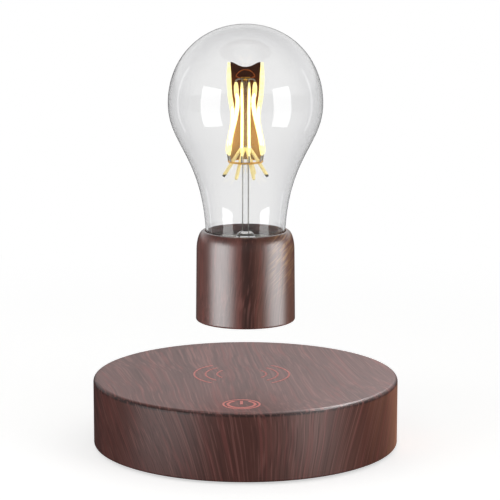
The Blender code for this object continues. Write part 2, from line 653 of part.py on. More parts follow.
def build_cap(spin):
    shoulder_r = mouth_radius + CAP_LIP_WIDTH
    shoulder_z = CAP_HEIGHT - CAP_SHOULDER_HEIGHT
    outline = [(mouth_radius, CAP_HEIGHT)]
    outline += arc(shoulder_r, shoulder_z, CAP_SHOULDER_WIDTH, CAP_SHOULDER_HEIGHT, 90, 0,
                   CAP_SHOULDER_STEPS)
    edge = CAP_LOWER_EDGE_RADIUS
    outline += arc(cap_lower_radius - edge, edge, edge, edge, 0, -90, LOWER_EDGE_STEPS)
    outline += [(cap_inner_radius, 0), (cap_inner_radius, collar_top + SEAT_GAP),
                (mouth_radius, CAP_HEIGHT - CAP_LIP_HEIGHT)]
    turned("cap_shell", outline, dark_wood, FLOAT_STEPS, True, spin)
    disc("cap_bottom", cap_filling_radius, 0, CAP_BOTTOM_THICKNESS, dark_wood, FLOAT_STEPS, spin)
    ring("receiver_coil", receiver_coil_inner, cap_filling_radius, float_magnet_bottom,
         float_magnet_bottom + RECEIVER_COIL_HEIGHT, copper_winding, MIDDLE_STEPS, spin)
    frame = disc("cap_frame", cap_filling_radius, frame_bottom, frame_top, white_plastic, MIDDLE_STEPS, spin)
    board = disc("receiver_board", cap_inner_radius - RECEIVER_BOARD_RIM, receiver_board_bottom,
                 receiver_board_top, green_board, MIDDLE_STEPS, spin)
    for index, turn in enumerate(FRAME_POST_ANGLES):
        post = rod_mesh("frame_post", FRAME_POST_RADIUS, frame_top - FRAME_THICKNESS / 2, frame_post_top)
        spot = on_circle(FRAME_POST_CIRCLE, turn)
        join(frame, tool(f"frame_post_{index + 1}", post, spin, spot))
    half = RECEIVER_PART_SIZE / 2
    for index, turn in enumerate(RECEIVER_PART_ANGLES):
        spot = on_circle(RECEIVER_PART_SIZE, turn)
        part = box_mesh("board_part", (-half, -half, receiver_board_bottom + RECEIVER_BOARD_THICKNESS / 2),
                        (half, half, receiver_board_top + RECEIVER_PART_HEIGHT))
        join(board, tool(f"board_part_{index + 1}", part, spin, spot))
    floor_r = neck_radius - COLLAR_FLOOR_OVERLAP
    floor_bottom = collar_floor_top - COLLAR_FLOOR_THICKNESS
    outline = [(cap_filling_radius, collar_top), (cap_filling_radius, floor_bottom), (floor_r, floor_bottom),
               (floor_r, collar_floor_top), (mouth_radius, collar_floor_top), (mouth_radius, collar_top)]
    turned("bulb_collar", outline, white_plastic, MIDDLE_STEPS, True, spin)


def build_glass(spin):
    widest = CAP_HEIGHT + BULB_WIDEST_HEIGHT
    top = widest + BULB_CROWN_HEIGHT
    neck = CAP_HEIGHT + NECK_STRAIGHT_HEIGHT
    outline = bezier((0, top), (CROWN_TOP_HANDLE, top), (bulb_radius, widest + CROWN_SIDE_HANDLE),
                     (bulb_radius, widest), CROWN_STEPS)
    outline += bezier((bulb_radius, widest), (bulb_radius, widest - SHOULDER_TOP_HANDLE),
                      (neck_radius + SHOULDER_NECK_FLARE, neck + SHOULDER_NECK_HANDLE),
                      (neck_radius, neck), BULB_SHOULDER_STEPS)[1:]
    outline += [(neck_radius, neck_bottom)]
    bulb = turned("glass_bulb", outline, clear_glass, FLOAT_STEPS, False, spin)
    wall = bulb.modifiers.new("wall", "SOLIDIFY")
    wall.thickness = GLASS_THICKNESS
    wall.offset = -1
    wall.use_even_offset = True
    return bulb


def build_stem(spin):
    """A hollow flare that closes to a solid press, and a rod on top of it."""
    flare_radius = neck_inner_radius - SEAT_GAP
    bottom = neck_bottom + SEAT_GAP
    tube_bottom = bottom + STEM_FLARE_HEIGHT
    press_bottom = tube_bottom + STEM_TUBE_HEIGHT
    press_top = press_bottom + STEM_PRESS_HEIGHT
    bore = STEM_TUBE_RADIUS - STEM_WALL
    outline = [(0, hub_bottom - SEAT_GAP), (STEM_ROD_RADIUS, hub_bottom - SEAT_GAP),
               (STEM_ROD_RADIUS, press_top)]
    outline += arc(STEM_ROD_RADIUS, press_bottom, STEM_TUBE_RADIUS - STEM_ROD_RADIUS,
                   STEM_PRESS_HEIGHT, 90, 0, TOP_EDGE_STEPS)[1:]
    outline += [(STEM_TUBE_RADIUS, tube_bottom), (flare_radius, bottom + STEM_WALL), (flare_radius, bottom),
                (flare_radius - STEM_WALL, bottom), (bore, tube_bottom), (bore, press_bottom),
                (0, press_bottom)]
    stem = turned("glass_stem", outline, clear_glass, SMALL_STEPS, False, spin)
    for index, turn in enumerate((LEAD_ANGLE, LEAD_ANGLE + 180)):
        hole = rod_mesh("lead_hole", LEAD_RADIUS + SEAT_GAP, press_bottom - SEAT_GAP, press_top,
                        LEAD_HOLE_STEPS)
        cut(stem, tool(f"lead_hole_{index + 1}", hole, spin, on_circle(LEAD_OFFSET, turn)))
    for side, turn in (("right", 0), ("left", 180)):
        points = [on_circle(LEAD_OFFSET, LEAD_ANGLE + turn, receiver_board_top + SEAT_GAP),
                  on_circle(LEAD_OFFSET, LEAD_ANGLE + turn, press_top + STEM_PRESS_HEIGHT),
                  on_circle(LEAD_OFFSET, LEAD_TOP_ANGLE + turn, ring_height),
                  on_circle(spider_hub_radius + SEAT_GAP + LEAD_RADIUS, LEAD_TOP_ANGLE + turn, spider_height)]
        place(f"lead_wire_{side}", wire_curve(f"lead_wire_{side}", points, LEAD_RADIUS), steel, parent=spin)


def build_filament_support(spin):
    hub = disc("filament_hub", HUB_RADIUS, hub_bottom, hub_bottom + HUB_THICKNESS, gold_wire,
               SMALL_STEPS, spin)
    low = (-HUB_RADIUS * 2, PLATE_OFFSET - SEAT_GAP, hub_bottom - SEAT_GAP)
    high = (HUB_RADIUS * 2, HUB_RADIUS * 2, hub_bottom + HUB_THICKNESS + SEAT_GAP)
    cut(hub, tool("hub_flat", box_mesh("hub_flat", low, high), spin))

    bpy.ops.mesh.primitive_torus_add(major_radius=RING_RADIUS, minor_radius=RING_WIRE_RADIUS,
                                     major_segments=MIDDLE_STEPS, minor_segments=WIRE_SIDES)
    lower_ring = bpy.context.object
    mesh = lower_ring.data
    bpy.data.objects.remove(lower_ring, do_unlink=True)
    round_shading(mesh)
    place("lower_ring", mesh, gold_wire, parent=spin, location=(0, 0, ring_height))

    half = SPIDER_HUB_HEIGHT / 2
    spider = ring("lower_spider", spider_bore, spider_hub_radius, spider_height - half, spider_height + half,
                  gold_wire, SMALL_STEPS, spin)
    start = (spider_bore + spider_hub_radius) / 2
    foot_height = ring_height - SPIDER_LEG_DROP
    for index, turn in enumerate(SPIDER_LEG_ANGLES):
        points = [on_circle(start, turn, spider_height), on_circle(spider_knee_radius, turn, ring_height),
                  on_circle(SPIDER_FOOT_RADIUS, turn, foot_height)]
        leg = wire_mesh("spider_leg", points, SPIDER_LEG_RADIUS)
        join(spider, tool(f"spider_leg_{index + 1}", leg, spin))


def build_filament_plate(spin):
    """A thin bronze sheet with a saddle-shaped top edge and a waist, notched over the spider's hub."""
    top = hub_height + PLATE_TOP_RISE
    dip = top - PLATE_SADDLE_DIP
    foot = ring_seat_height
    waist = filament_waist_height
    notch = spider_height + SPIDER_HUB_HEIGHT / 2 + PLATE_NOTCH_HEIGHT
    crest = PLATE_TOP_HALF_WIDTH * PLATE_CREST_REACH
    right = bezier((0, dip), (PLATE_TOP_HALF_WIDTH / 2, dip), (crest, top), (PLATE_TOP_HALF_WIDTH, top),
                   PLATE_TOP_STEPS)
    side = waist_curve((PLATE_TOP_HALF_WIDTH, 0, top), (PLATE_WAIST_HALF_WIDTH, 0, waist),
                       (PLATE_FOOT_HALF_WIDTH, 0, foot), WAIST_STEPS)
    right += [(point[0], point[2]) for point in side[1:]]
    right += [(PLATE_NOTCH_HALF_WIDTH, foot), (PLATE_NOTCH_HALF_WIDTH, notch)]
    left = [(-x, z) for x, z in reversed(right) if x > 0]
    outline = right + left
    curve = bpy.data.curves.new("filament_plate", "CURVE")
    curve.dimensions = "2D"
    curve.fill_mode = "BOTH"
    curve.extrude = PLATE_THICKNESS / 2
    spline = curve.splines.new("POLY")
    spline.points.add(len(outline) - 1)
    for index, (x, z) in enumerate(outline):
        spline.points[index].co = (x, z, 0, 1)
    spline.use_cyclic_u = True
    middle = (0, PLATE_OFFSET + PLATE_THICKNESS / 2, 0)
    place("filament_plate", curve, bronze, parent=spin, location=middle, rotation=(QUARTER, 0, 0))


def build_filament(spin, name, radius, rise, upper, middle, lower):
    """A rod of lit silicone, curved through its waist, with thin metal leads at its ends."""
    points = []
    radii = []
    bottom = Vector((*lower, ring_seat_height + FILAMENT_FOOT_RISE))
    if rise is None:
        # The lead leaves the hub, or the plate behind it, and bends down over the upper end
        outward = Vector((*upper, 0)).normalized()
        start_radius = HUB_RADIUS + SEAT_GAP
        if upper[1] > 0:
            plate_back = PLATE_OFFSET + PLATE_THICKNESS
            start_radius = (plate_back + SEAT_GAP) / outward.y + FILAMENT_LEAD_RADIUS
        corner = Vector((*upper, hub_height))
        points.append(outward * start_radius + Vector((0, 0, hub_height)))
        points.append(corner - outward * FILAMENT_BEND)
        points.append(corner - (outward + Vector((0, 0, 1))) * FILAMENT_BEND * FILAMENT_BEND_CUT)
        points.append(corner - Vector((0, 0, FILAMENT_BEND)))
        radii += [FILAMENT_LEAD_RADIUS] * len(points)
        top = corner - Vector((0, 0, FILAMENT_BEND + FILAMENT_END_LENGTH))
    else:
        top = Vector((*upper, hub_height + rise))
    rod = waist_curve(top, (*middle, filament_waist_height), bottom, WAIST_STEPS)
    points += rod
    radii += [radius] * len(rod)
    outward = Vector((bottom.x, bottom.y, 0)).normalized()
    seat = outward * RING_RADIUS + Vector((0, 0, ring_seat_height))
    points.append(bottom + (seat - bottom).normalized() * FILAMENT_END_LENGTH)
    points.append(seat)
    radii += [FILAMENT_LEAD_RADIUS, FILAMENT_LEAD_RADIUS]
    place(name, wire_curve(name, points, radius, radii), lit_filament, parent=spin)


clear_scene()
parts = new_collection("levitating_lamp")
cutters = new_collection("cutters")

dark_wood = new_material("dark_wood_film", (0.055, 0.020, 0.016), 0.35)
black_plastic = new_material("black_plastic", (0.020, 0.020, 0.021), 0.45)
white_plastic = new_material("white_plastic", (0.75, 0.74, 0.71), 0.45)
rubber = new_material("rubber", (0.015, 0.015, 0.015), 0.8)
steel = new_material("steel", (0.55, 0.55, 0.56), 0.35, 1.0)
iron = new_material("iron", (0.32, 0.31, 0.30), 0.45, 1.0)
magnet = new_material("magnet", (0.60, 0.60, 0.62), 0.25, 1.0)
ferrite = new_material("ferrite", (0.05, 0.05, 0.055), 0.6)
copper_winding = new_material("copper_winding", (0.62, 0.24, 0.10), 0.4, 1.0)
green_board = new_material("green_board", (0.02, 0.13, 0.05), 0.4)
clear_glass = new_material("clear_glass", (0.9, 0.92, 0.93), 0.03, 0.0, 0.25)
gold_wire = new_material("gold_wire", (0.75, 0.50, 0.15), 0.3, 1.0)
bronze = new_material("bronze", (0.18, 0.09, 0.035), 0.4, 1.0)
lit_filament = new_material("lit_filament", (1.0, 0.80, 0.35), 0.5)
cutter_material = new_material("cutter", (0.5, 0.5, 0.5), 0.5)

build_base_shell()
build_bottom_cover()
build_feet()
build_cover_screws()
build_main_board()
build_module_carrier()
build_module_screws()
build_lifting_module()
build_touch_sensor()
build_inlet()

# The floating unit rises and sinks on the first empty and turns on the second
lift_axis = bpy.data.objects.new("float_lift_axis", None)
parts.objects.link(lift_axis)
lift_axis.location = (0, 0, BASE_HEIGHT + FLOAT_GAP)
spin_axis = bpy.data.objects.new("float_spin_axis", None)
parts.objects.link(spin_axis)
spin_axis.parent = lift_axis

disc("magnet_disc", float_magnet_radius, float_magnet_bottom, float_magnet_top, magnet, MIDDLE_STEPS,
     lift_axis)
build_cap(spin_axis)
build_glass(spin_axis)
build_stem(spin_axis)
build_filament_support(spin_axis)
build_filament_plate(spin_axis)
for pair, radius, rise, *places in FILAMENT_PAIRS:
    for side, sign in (("left", -1), ("right", 1)):
        mirrored = [(sign * x, y) for x, y in places]
        build_filament(spin_axis, f"{pair}_{side}", radius, rise, *mirrored)
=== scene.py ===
# %% [markdown]
# A levitating lamp. A round base hides ring and steering magnets, and a cap with a magnet in it
# floats above the base and carries a filament bulb. The engineering model of the lamp is already
# there, with its pieces at their real size. This lesson dresses it: it rebuilds the visible pieces
# with smooth surfaces, gives every piece its finish, and sets up a small photo studio.
# Everything is in metres, +Z is up, and the front of the lamp looks along -Y.

# %% Load the engineering model
import math

import bmesh
import bpy
from mathutils import Matrix, Quaternion, Vector


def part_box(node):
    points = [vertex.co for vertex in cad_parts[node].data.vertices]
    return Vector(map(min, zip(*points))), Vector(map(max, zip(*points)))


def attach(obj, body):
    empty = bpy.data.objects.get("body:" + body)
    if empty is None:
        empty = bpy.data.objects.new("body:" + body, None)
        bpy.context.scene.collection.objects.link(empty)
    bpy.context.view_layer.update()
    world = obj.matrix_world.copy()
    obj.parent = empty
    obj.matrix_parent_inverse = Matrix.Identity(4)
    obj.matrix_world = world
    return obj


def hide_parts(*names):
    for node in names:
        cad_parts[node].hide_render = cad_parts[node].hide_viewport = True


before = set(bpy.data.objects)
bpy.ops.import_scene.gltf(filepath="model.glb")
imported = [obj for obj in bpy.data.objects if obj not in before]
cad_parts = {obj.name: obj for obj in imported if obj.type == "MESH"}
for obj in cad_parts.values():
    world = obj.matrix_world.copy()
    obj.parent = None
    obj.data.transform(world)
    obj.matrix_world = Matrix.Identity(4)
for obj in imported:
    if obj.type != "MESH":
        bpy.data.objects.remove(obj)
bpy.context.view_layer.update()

# %% [markdown]
# The lamp's sizes are not typed in again. Each is read off the box of the piece that has it, so the
# smooth pieces land where the solids are. Lengths that a box can't tell, such as the radius of an
# edge, are written here in millimetres, as on a drawing.

# %% Sizes read off the model
MM = 0.001
# How far tools and sunk ends reach past a face, and curves past the height where a wall turns straight
PAST = 1 * MM


def span(node):
    """A node's lowest and highest corner, and its half width along X."""
    low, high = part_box(node)
    return low, high, (high.x - low.x) / 2


def over(node):
    """The move from the lamp's axis to the middle of a node."""
    low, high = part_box(node)
    return Matrix.Translation(((low.x + high.x) / 2, (low.y + high.y) / 2, 0))


base_low, base_high, BASE_RADIUS = span("base_shell")
cap_low, cap_high, CAP_RADIUS = span("cap_shell")
glass_low, glass_high, GLASS_RADIUS = span("glass_bulb")
stem_low, stem_high, FLARE_RADIUS = span("glass_stem")
hub_low, hub_high, HUB_RADIUS = span("filament_hub")
ring_low, ring_high, RING_OUTER_RADIUS = span("lower_ring")
print(f"base {2 * BASE_RADIUS / MM:.1f} mm wide, glass {2 * GLASS_RADIUS / MM:.1f} mm wide")

# %% [markdown]
# Round pieces are turned on a lathe in the real factory, or moulded in a turned mould. In Blender the
# same thing is a profile that spins round the axis. A spin makes even rows of faces, so the surface
# shades smoothly and a pattern lies on it without seams. The last row meets the first one, so the
# doubles are merged before the faces are turned to point outwards.

# %% Helpers for profiles and turned pieces
MERGE = 0.001 * MM
CREASE_ANGLE = math.radians(38)


def arc(centre, radii, start, end, steps):
    """Points on an ellipse's arc in the (radius, height) plane, angles in degrees."""
    points = []
    for step in range(steps + 1):
        angle = math.radians(start + (end - start) * step / steps)
        points.append((centre[0] + radii[0] * math.cos(angle), centre[1] + radii[1] * math.sin(angle)))
    return points


def bezier(corners, steps):
    """Points along a cubic curve with four corners, both ends included."""
    a, b, c, d = [Vector(corner) for corner in corners]
    points = []
    for step in range(steps + 1):
        t = step / steps
        points.append(a * (1 - t) ** 3 + b * 3 * t * (1 - t) ** 2 + c * 3 * t * t * (1 - t) + d * t ** 3)
    return [tuple(point) for point in points]


def rounded(radius, height, edge, side, steps):
    """A profile's rounded outer edge: the upper one for side 1, the lower one for side -1."""
    start = 90 if side > 0 else 0
    return arc((radius - edge, height - side * edge), (edge, edge), start, start - 90, steps)


def move(shape, matrix):
    bmesh.ops.transform(shape, matrix=matrix, verts=shape.verts)
    return shape


def spin(shape, degrees, steps):
    """Spin all that a shape has round the Z axis, then merge doubles and turn the faces outwards."""
    bmesh.ops.spin(shape, geom=[*shape.verts, *shape.edges, *shape.faces], cent=(0, 0, 0),
                   axis=(0, 0, 1), angle=math.radians(degrees), steps=steps, use_merge=(degrees == 360))
    bmesh.ops.remove_doubles(shape, verts=shape.verts, dist=MERGE)
    bmesh.ops.recalc_face_normals(shape, faces=shape.faces)
    return shape


def turn(profile, steps, closed=True):
    """Turn a profile of (radius, height) points; closed means that its ends are joined."""
    shape = bmesh.new()
    verts = [shape.verts.new((radius, 0, height)) for radius, height in profile]
    if closed:
        verts.append(verts[0])
    for pair in zip(verts, verts[1:]):
        shape.edges.new(pair)
    return spin(shape, 360, steps)


def disc_for(node, edge, edge_steps, steps, both=False):
    """A turned disc of a solid's size and height; its lower edge is rounded, or both edges."""
    low, high, radius = span(node)
    profile = [(0, high.z)]
    profile += rounded(radius, high.z, edge, 1, edge_steps) if both else [(radius, high.z)]
    profile += rounded(radius, low.z, edge, -1, edge_steps) + [(0, low.z)]
    return turn(profile, steps, closed=False)

# %% [markdown]
# Every finished piece goes the same way: its mesh is stored, its flat parts and its edges are told
# apart by angle, it gets a finish, and it is tied to the body that it moves with. A piece that stands
# for a solid of the engineering model takes that solid's place.

# %% Helpers for pieces
def as_object(name, shape):
    mesh = bpy.data.meshes.new(name)
    shape.to_mesh(mesh)
    shape.free()
    mesh.shade_smooth()
    mesh.set_sharp_from_angle(angle=CREASE_ANGLE)
    item = bpy.data.objects.new(name, mesh)
    bpy.context.scene.collection.objects.link(item)
    return item


def finish_piece(name, shape, body, material, stands_for=()):
    """Store a shape as a piece of the lamp."""
    piece = as_object(name, shape)
    piece.data.materials.append(material)
    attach(piece, body)
    if stands_for:
        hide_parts(*stands_for)
    print(f"{name}: {len(piece.data.polygons)} faces")
    return piece


def combine(shape, tool, operation):
    """Cut a shape by a tool, or join the two, and return the new shape."""
    item = as_object("shape", shape)
    other = as_object("tool", tool)
    step = item.modifiers.new("combine", "BOOLEAN")
    step.operation = operation
    step.object = other
    depsgraph = bpy.context.evaluated_depsgraph_get()
    result = bmesh.new()
    result.from_mesh(item.evaluated_get(depsgraph).to_mesh())
    bpy.data.objects.remove(item)
    bpy.data.objects.remove(other)
    return result


def cylinder(radius, bottom, top, sides=48):
    shape = bmesh.new()
    bmesh.ops.create_cone(shape, cap_ends=True, segments=sides, radius1=radius, radius2=radius,
                          depth=top - bottom)
    return move(shape, Matrix.Translation((0, 0, (top + bottom) / 2)))


def block(low, high):
    shape = bmesh.new()
    bmesh.ops.create_cube(shape, size=1)
    low, high = Vector(low), Vector(high)
    size = Matrix.Diagonal((*(high - low), 1))
    return move(shape, Matrix.Translation((high + low) / 2) @ size)


def sweep(points, radii, sides=20):
    """Carry a circle along points and close both ends; radii is one radius or one for each point."""
    points = [Vector(point) for point in points]
    if not isinstance(radii, list):
        radii = [radii] * len(points)
    shape = bmesh.new()
    made = bmesh.ops.create_circle(shape, cap_ends=False, radius=1, segments=sides)
    edges = list(shape.edges)
    verts = made["verts"]
    heading = Vector((0, 0, 1))
    turned_by = Quaternion()
    place = Matrix()
    rings = []
    for index, point in enumerate(points):
        before = points[max(index - 1, 0)]
        after = points[min(index + 1, len(points) - 1)]
        direction = (after - before).normalized()
        turned_by = heading.rotation_difference(direction) @ turned_by
        heading = direction
        target = Matrix.LocRotScale(point, turned_by, Vector((radii[index],) * 3))
        if index:
            made = bmesh.ops.extrude_edge_only(shape, edges=edges)["geom"]
            verts = [part for part in made if isinstance(part, bmesh.types.BMVert)]
            edges = [part for part in made if isinstance(part, bmesh.types.BMEdge)]
        bmesh.ops.transform(shape, matrix=target @ place.inverted(), verts=verts)
        place = target
        if index in (0, len(points) - 1):
            rings.append(list(edges))
    for ring in rings:
        bmesh.ops.edgeloop_fill(shape, edges=ring)
    bmesh.ops.recalc_face_normals(shape, faces=shape.faces)
    return shape

# %% [markdown]
# Finishes are node materials. Colours are written as the hex values that a paint chart or a picture
# gives, and one function turns them into the linear values that light is computed with. One small
# function adds any node: it sets the node up, links what comes from another node and fills in the
# other inputs. All patterns read object coordinates, which are metres here. A Mapping node of the
# texture type divides by its scale, so its scale is simply the pattern's real size.

# %% Helpers for materials
SMOOTH = {"interpolation_type": "SMOOTHSTEP"}
# Nearly all values of a noise lie in the first range, and most of them in the second
NOISE_RANGE = (0.3, 0.7)
NOISE_MIDDLE = (0.35, 0.65)


def hex_colour(text):
    """A hex colour such as #8a5048 as linear red, green, blue and a full alpha."""
    values = []
    for index in (1, 3, 5):
        value = int(text[index:index + 2], 16) / 255
        values.append(value / 12.92 if value <= 0.04045 else ((value + 0.055) / 1.055) ** 2.4)
    return (*values, 1.0)


def add(tree, kind, inputs=(), stops=(), **settings):
    """Add a node with its settings and links.

    The inputs come in the node's own order or by name: a node or an output is linked, a hex colour
    is made linear, another value is set. Stops are the places and colours of a colour ramp.
    """
    made = tree.nodes.new("ShaderNode" + kind)
    for name, value in settings.items():
        setattr(made, name, value)
    if stops:
        points = made.color_ramp.elements
        while len(points) < len(stops):
            points.new(1.0)
        for point, (place, colour) in zip(points, stops):
            point.position = place
            point.color = hex_colour(colour)
    sockets = [socket for socket in made.inputs if socket.enabled]
    if isinstance(inputs, dict):
        by_name = {socket.name: socket for socket in reversed(sockets)}
        pairs = [(by_name[name], value) for name, value in inputs.items()]
    else:
        pairs = list(zip(sockets, inputs))
    for socket, value in pairs:
        if isinstance(value, bpy.types.Node):
            value = next(output for output in value.outputs if output.enabled)
        if isinstance(value, bpy.types.NodeSocket):
            tree.links.new(value, socket)
        else:
            socket.default_value = hex_colour(value) if isinstance(value, str) else value
    return made


def new_material(name):
    """A material without nodes, its node tree, and the places that its patterns read."""
    material = bpy.data.materials.new(name)
    material.use_nodes = True
    tree = material.node_tree
    tree.nodes.clear()
    print("finish:", name)
    return material, tree, add(tree, "TexCoord").outputs["Object"]


def noise_at(tree, place, size, detail=1.0, start=(0, 0, 0), turned=(0, 0, 0)):
    """Noise with grains of a real size: one length, or one for each axis."""
    sizes = size if isinstance(size, tuple) else (size, size, size)
    scaled = add(tree, "Mapping", [place, start, turned, sizes], vector_type="TEXTURE")
    return add(tree, "TexNoise", {"Vector": scaled, "Scale": 1.0, "Detail": detail})


def surface(material, colour, roughness, relief=(), others=()):
    """Close a material with one shader; a relief is a height from 0 to 1, a strength and a depth."""
    tree = material.node_tree
    inputs = {"Base Color": colour, "Roughness": roughness, **dict(others)}
    if relief:
        inputs["Normal"] = add(tree, "Bump", dict(zip(("Height", "Strength", "Distance"), relief)))
    shader = add(tree, "BsdfPrincipled", inputs)
    add(tree, "OutputMaterial", {"Surface": shader})
    return material

# %% [markdown]
# The housings are moulded in ABS and covered in a printed rosewood film, which gives a wood's figure
# without its pores: broad zones of darker wood, some reddish streaks, fine dark and pale lines that
# run with the grain, and a clear satin lacquer over it all. Long noise, narrow across the grain and
# stretched along it, draws each of these at its own width. Two waves bend the lines, a slow one and a
# quick one, as in real timber. The lines have little contrast, because the print is soft and the
# lacquer's sheen veils it where the eye looks along the surface.

# %% Rosewood film
# Each layer of the print: its tone, width, length, seed, and where on the noise it starts, where it
# is full, and how much of the tone shows there. Real lines are 0.2 mm wide and drawn wider here.
FILM_LAYERS = (
    ("zone", 13 * MM, 120 * MM, 9.0, 0.42, 0.62, 0.35),
    ("red", 1.6 * MM, 90 * MM, 5.0, 0.51, 0.66, 0.44),
    ("line", 0.6 * MM, 80 * MM, 3.0, 0.49, 0.36, 0.46),
    ("pale", 0.8 * MM, 90 * MM, 7.0, 0.54, 0.68, 0.40),
)
# Each wave: its length, its height and its seed
FILM_WAVES = ((70 * MM, 3.0 * MM, 1.0), (24 * MM, 0.7 * MM, 2.0))
LACQUER_UNEVEN = 0.03
LACQUER_RELIEF = (0.05, 0.03 * MM)


def long_noise(tree, vector, width, length, seed, detail=2):
    """Noise in streaks: width across the grain (X and Z), length along it (Y)."""
    return noise_at(tree, vector, (width, length, width), detail, (seed, 0.37 * seed, 1.7 * seed))


def ground_with_painted_light(tree, side, stops):
    """The ground tone from the left, where side is -1, to the right, where it is 1, with light and shade
    painted into it.
    """
    return add(tree, "ValToRGB", [add(tree, "MapRange", [side, -1.0, 1.0])], stops=stops)


def rosewood_film(name, grain, tones, roughness, specular, coat, coat_roughness):
    """The film over grain coordinates (X and Z across the grain, Y along it) and its own ground."""
    material, tree, place = new_material(name)
    vector, colour = grain(tree, place, tones)
    for length, height, seed in FILM_WAVES:
        # A noise lies round a half, so this moves the lines by up to twice the height either way
        wave = long_noise(tree, vector, length, length, seed, detail=0)
        shift = add(tree, "Math", [wave, 4 * height, -2 * height], operation="MULTIPLY_ADD")
        shift = add(tree, "CombineXYZ", {"X": shift, "Z": shift})
        vector = add(tree, "VectorMath", [vector, shift], operation="ADD")
    for tone, width, length, seed, start, full, strength in FILM_LAYERS:
        streaks = long_noise(tree, vector, width, length, seed)
        share = add(tree, "MapRange", [streaks, start, full, 0.0, strength * tones["contrast"]], **SMOOTH)
        colour = add(tree, "Mix", [share, colour, tones[tone]], data_type="RGBA")
    rough = add(tree, "MapRange", [streaks, *NOISE_RANGE, roughness + LACQUER_UNEVEN,
                                   roughness - LACQUER_UNEVEN])
    return surface(material, colour, rough, (streaks, *LACQUER_RELIEF), {
        "Specular IOR Level": specular, "Coat Weight": coat, "Coat Roughness": coat_roughness})

# %% [markdown]
# The base is dressed in two pieces of film. On top the grain runs front to back and leans to the right
# towards the front, the more the further it lies from the middle. Down the side it hangs straight in
# front and leans outwards at the left and the right, where the film was drawn round the drum. A dark
# line is painted along the rounded rim, near where the two pieces meet: painted shade, the dark that the
# rounded edge mirrors. Where a line of the side began at the rim is found by turning the point back
# round the axis, the more the deeper it lies.

# %% Film on the base
TOP_LEAN = 0.10
TOP_LEAN_SPREAD = 0.20
SIDE_LEAN = -0.14
SIDE_LEAN_SPREAD = 0.75
TOP_FILM_DEPTH = 0.65 * MM
# The painted shade along the rounded rim: the depth of its middle, how far from it it is full, where it has
# faded, and its strength
RIM_SHADE_DEPTH = 0.9 * MM
RIM_SHADE_CORE = 0.3 * MM
RIM_SHADE_FADE = 0.9 * MM
RIM_SHADE_STRENGTH = 0.95


def grain_on_top(tree, side, x, y):
    """Grain coordinates on the flat top: the lean grows with the square of the way to the side."""
    square = add(tree, "Math", [side, side], operation="MULTIPLY")
    lean = add(tree, "Math", [square, TOP_LEAN_SPREAD, TOP_LEAN], operation="MULTIPLY_ADD")
    across = add(tree, "Math", [y, lean, x], operation="MULTIPLY_ADD")
    return add(tree, "CombineXYZ", [across, y])


def grain_down_side(tree, side, place, depth):
    """Grain coordinates down the side: turned back to where the line began at the rim."""
    tilt = add(tree, "Math", [side, SIDE_LEAN_SPREAD, SIDE_LEAN], operation="MULTIPLY_ADD")
    turns = add(tree, "Math", [depth, BASE_RADIUS], operation="DIVIDE")
    angle = add(tree, "Math", [tilt, turns], operation="MULTIPLY")
    turned = add(tree, "VectorRotate", {"Vector": place, "Angle": angle}, rotation_type="Z_AXIS")
    x, y, _ = add(tree, "SeparateXYZ", [turned]).outputs
    return add(tree, "CombineXYZ", [x, depth, y])


def grain_on_base(tree, place, tones):
    """Grain coordinates and ground tone on the base's two pieces of film; the ground carries painted sheen,
    light and shade, and a painted shade along the rim.
    """
    x, y, z = add(tree, "SeparateXYZ", [place]).outputs
    side = add(tree, "Math", [x, BASE_RADIUS], operation="DIVIDE")
    depth = add(tree, "Math", [base_high.z, z], operation="SUBTRACT")
    on_side = add(tree, "Math", [depth, TOP_FILM_DEPTH], operation="GREATER_THAN")
    vector = add(tree, "Mix", [on_side, grain_on_top(tree, side, x, y),
                               grain_down_side(tree, side, place, depth)], data_type="VECTOR")
    ground_and_light = add(tree, "Mix", [on_side, tones["top"], ground_with_painted_light(tree, side, tones["across"])],
                 data_type="RGBA")
    # A painted shade along the rounded rim, darkest at its middle depth
    from_rim_shade = add(tree, "Math", [depth, RIM_SHADE_DEPTH], operation="SUBTRACT")
    from_rim_shade = add(tree, "Math", [from_rim_shade], operation="ABSOLUTE")
    line = add(tree, "MapRange", [from_rim_shade, RIM_SHADE_FADE, RIM_SHADE_CORE, 0.0, RIM_SHADE_STRENGTH])
    return vector, add(tree, "Mix", [line, ground_and_light, tones["rim"]], data_type="RGBA")


# The side's ground is dark at the left edge, then paler, darker in the middle, paler, dark again, and
# a warm pale brown at the right edge. These bands are painted light: seen from the front, the two paler
# bands are painted sheen where the side boxes are mirrored, the dark left edge is painted shade and the
# pale right edge is painted light. The rim colour is the painted shade along the rounded rim.
base_tones = {
    "across": [(0.0, "#33191a"), (0.05, "#4e2c27"), (0.25, "#573935"), (0.5, "#4c2a24"),
               (0.72, "#593c36"), (0.88, "#45261e"), (0.95, "#5c3a2c"), (1.0, "#98684e")],
    "top": "#4f322f", "rim": "#1a0d0c",
    "zone": "#3a211d", "red": "#6b3935", "line": "#2e1613", "pale": "#78504a", "contrast": 1.0}
film_on_base = rosewood_film("rosewood_film_satin", grain_on_base, base_tones, 0.45, 0.3, 0.25, 0.3)

# %% [markdown]
# The cap wears the same film under a glossier lacquer. Its grain stands upright. Seen from the front,
# the ground is darkest just right of the middle and paler towards the edges, most of all at the right:
# painted shade where the lacquer mirrors the dim room, and painted reflection towards the edges. A
# reddish stripe of the print lies beside the dark band, and an area at the upper right shows fine golden
# slanting lines, where the log was cut across its rings.

# %% Film on the cap
FIGURE_SIZE = (0.5 * MM, 7 * MM, 7 * MM)
FIGURE_TILT = math.radians(48)
# Where on the noise a golden line starts and is full
FIGURE_LINES = (0.47, 0.60)
# Where the figured area starts and is full: to the right, as a share of the radius, and upwards
FIGURE_AT_RIGHT = (0.35, 0.72)
FIGURE_UPWARDS = (cap_low.z + 6 * MM, cap_high.z - 8 * MM)


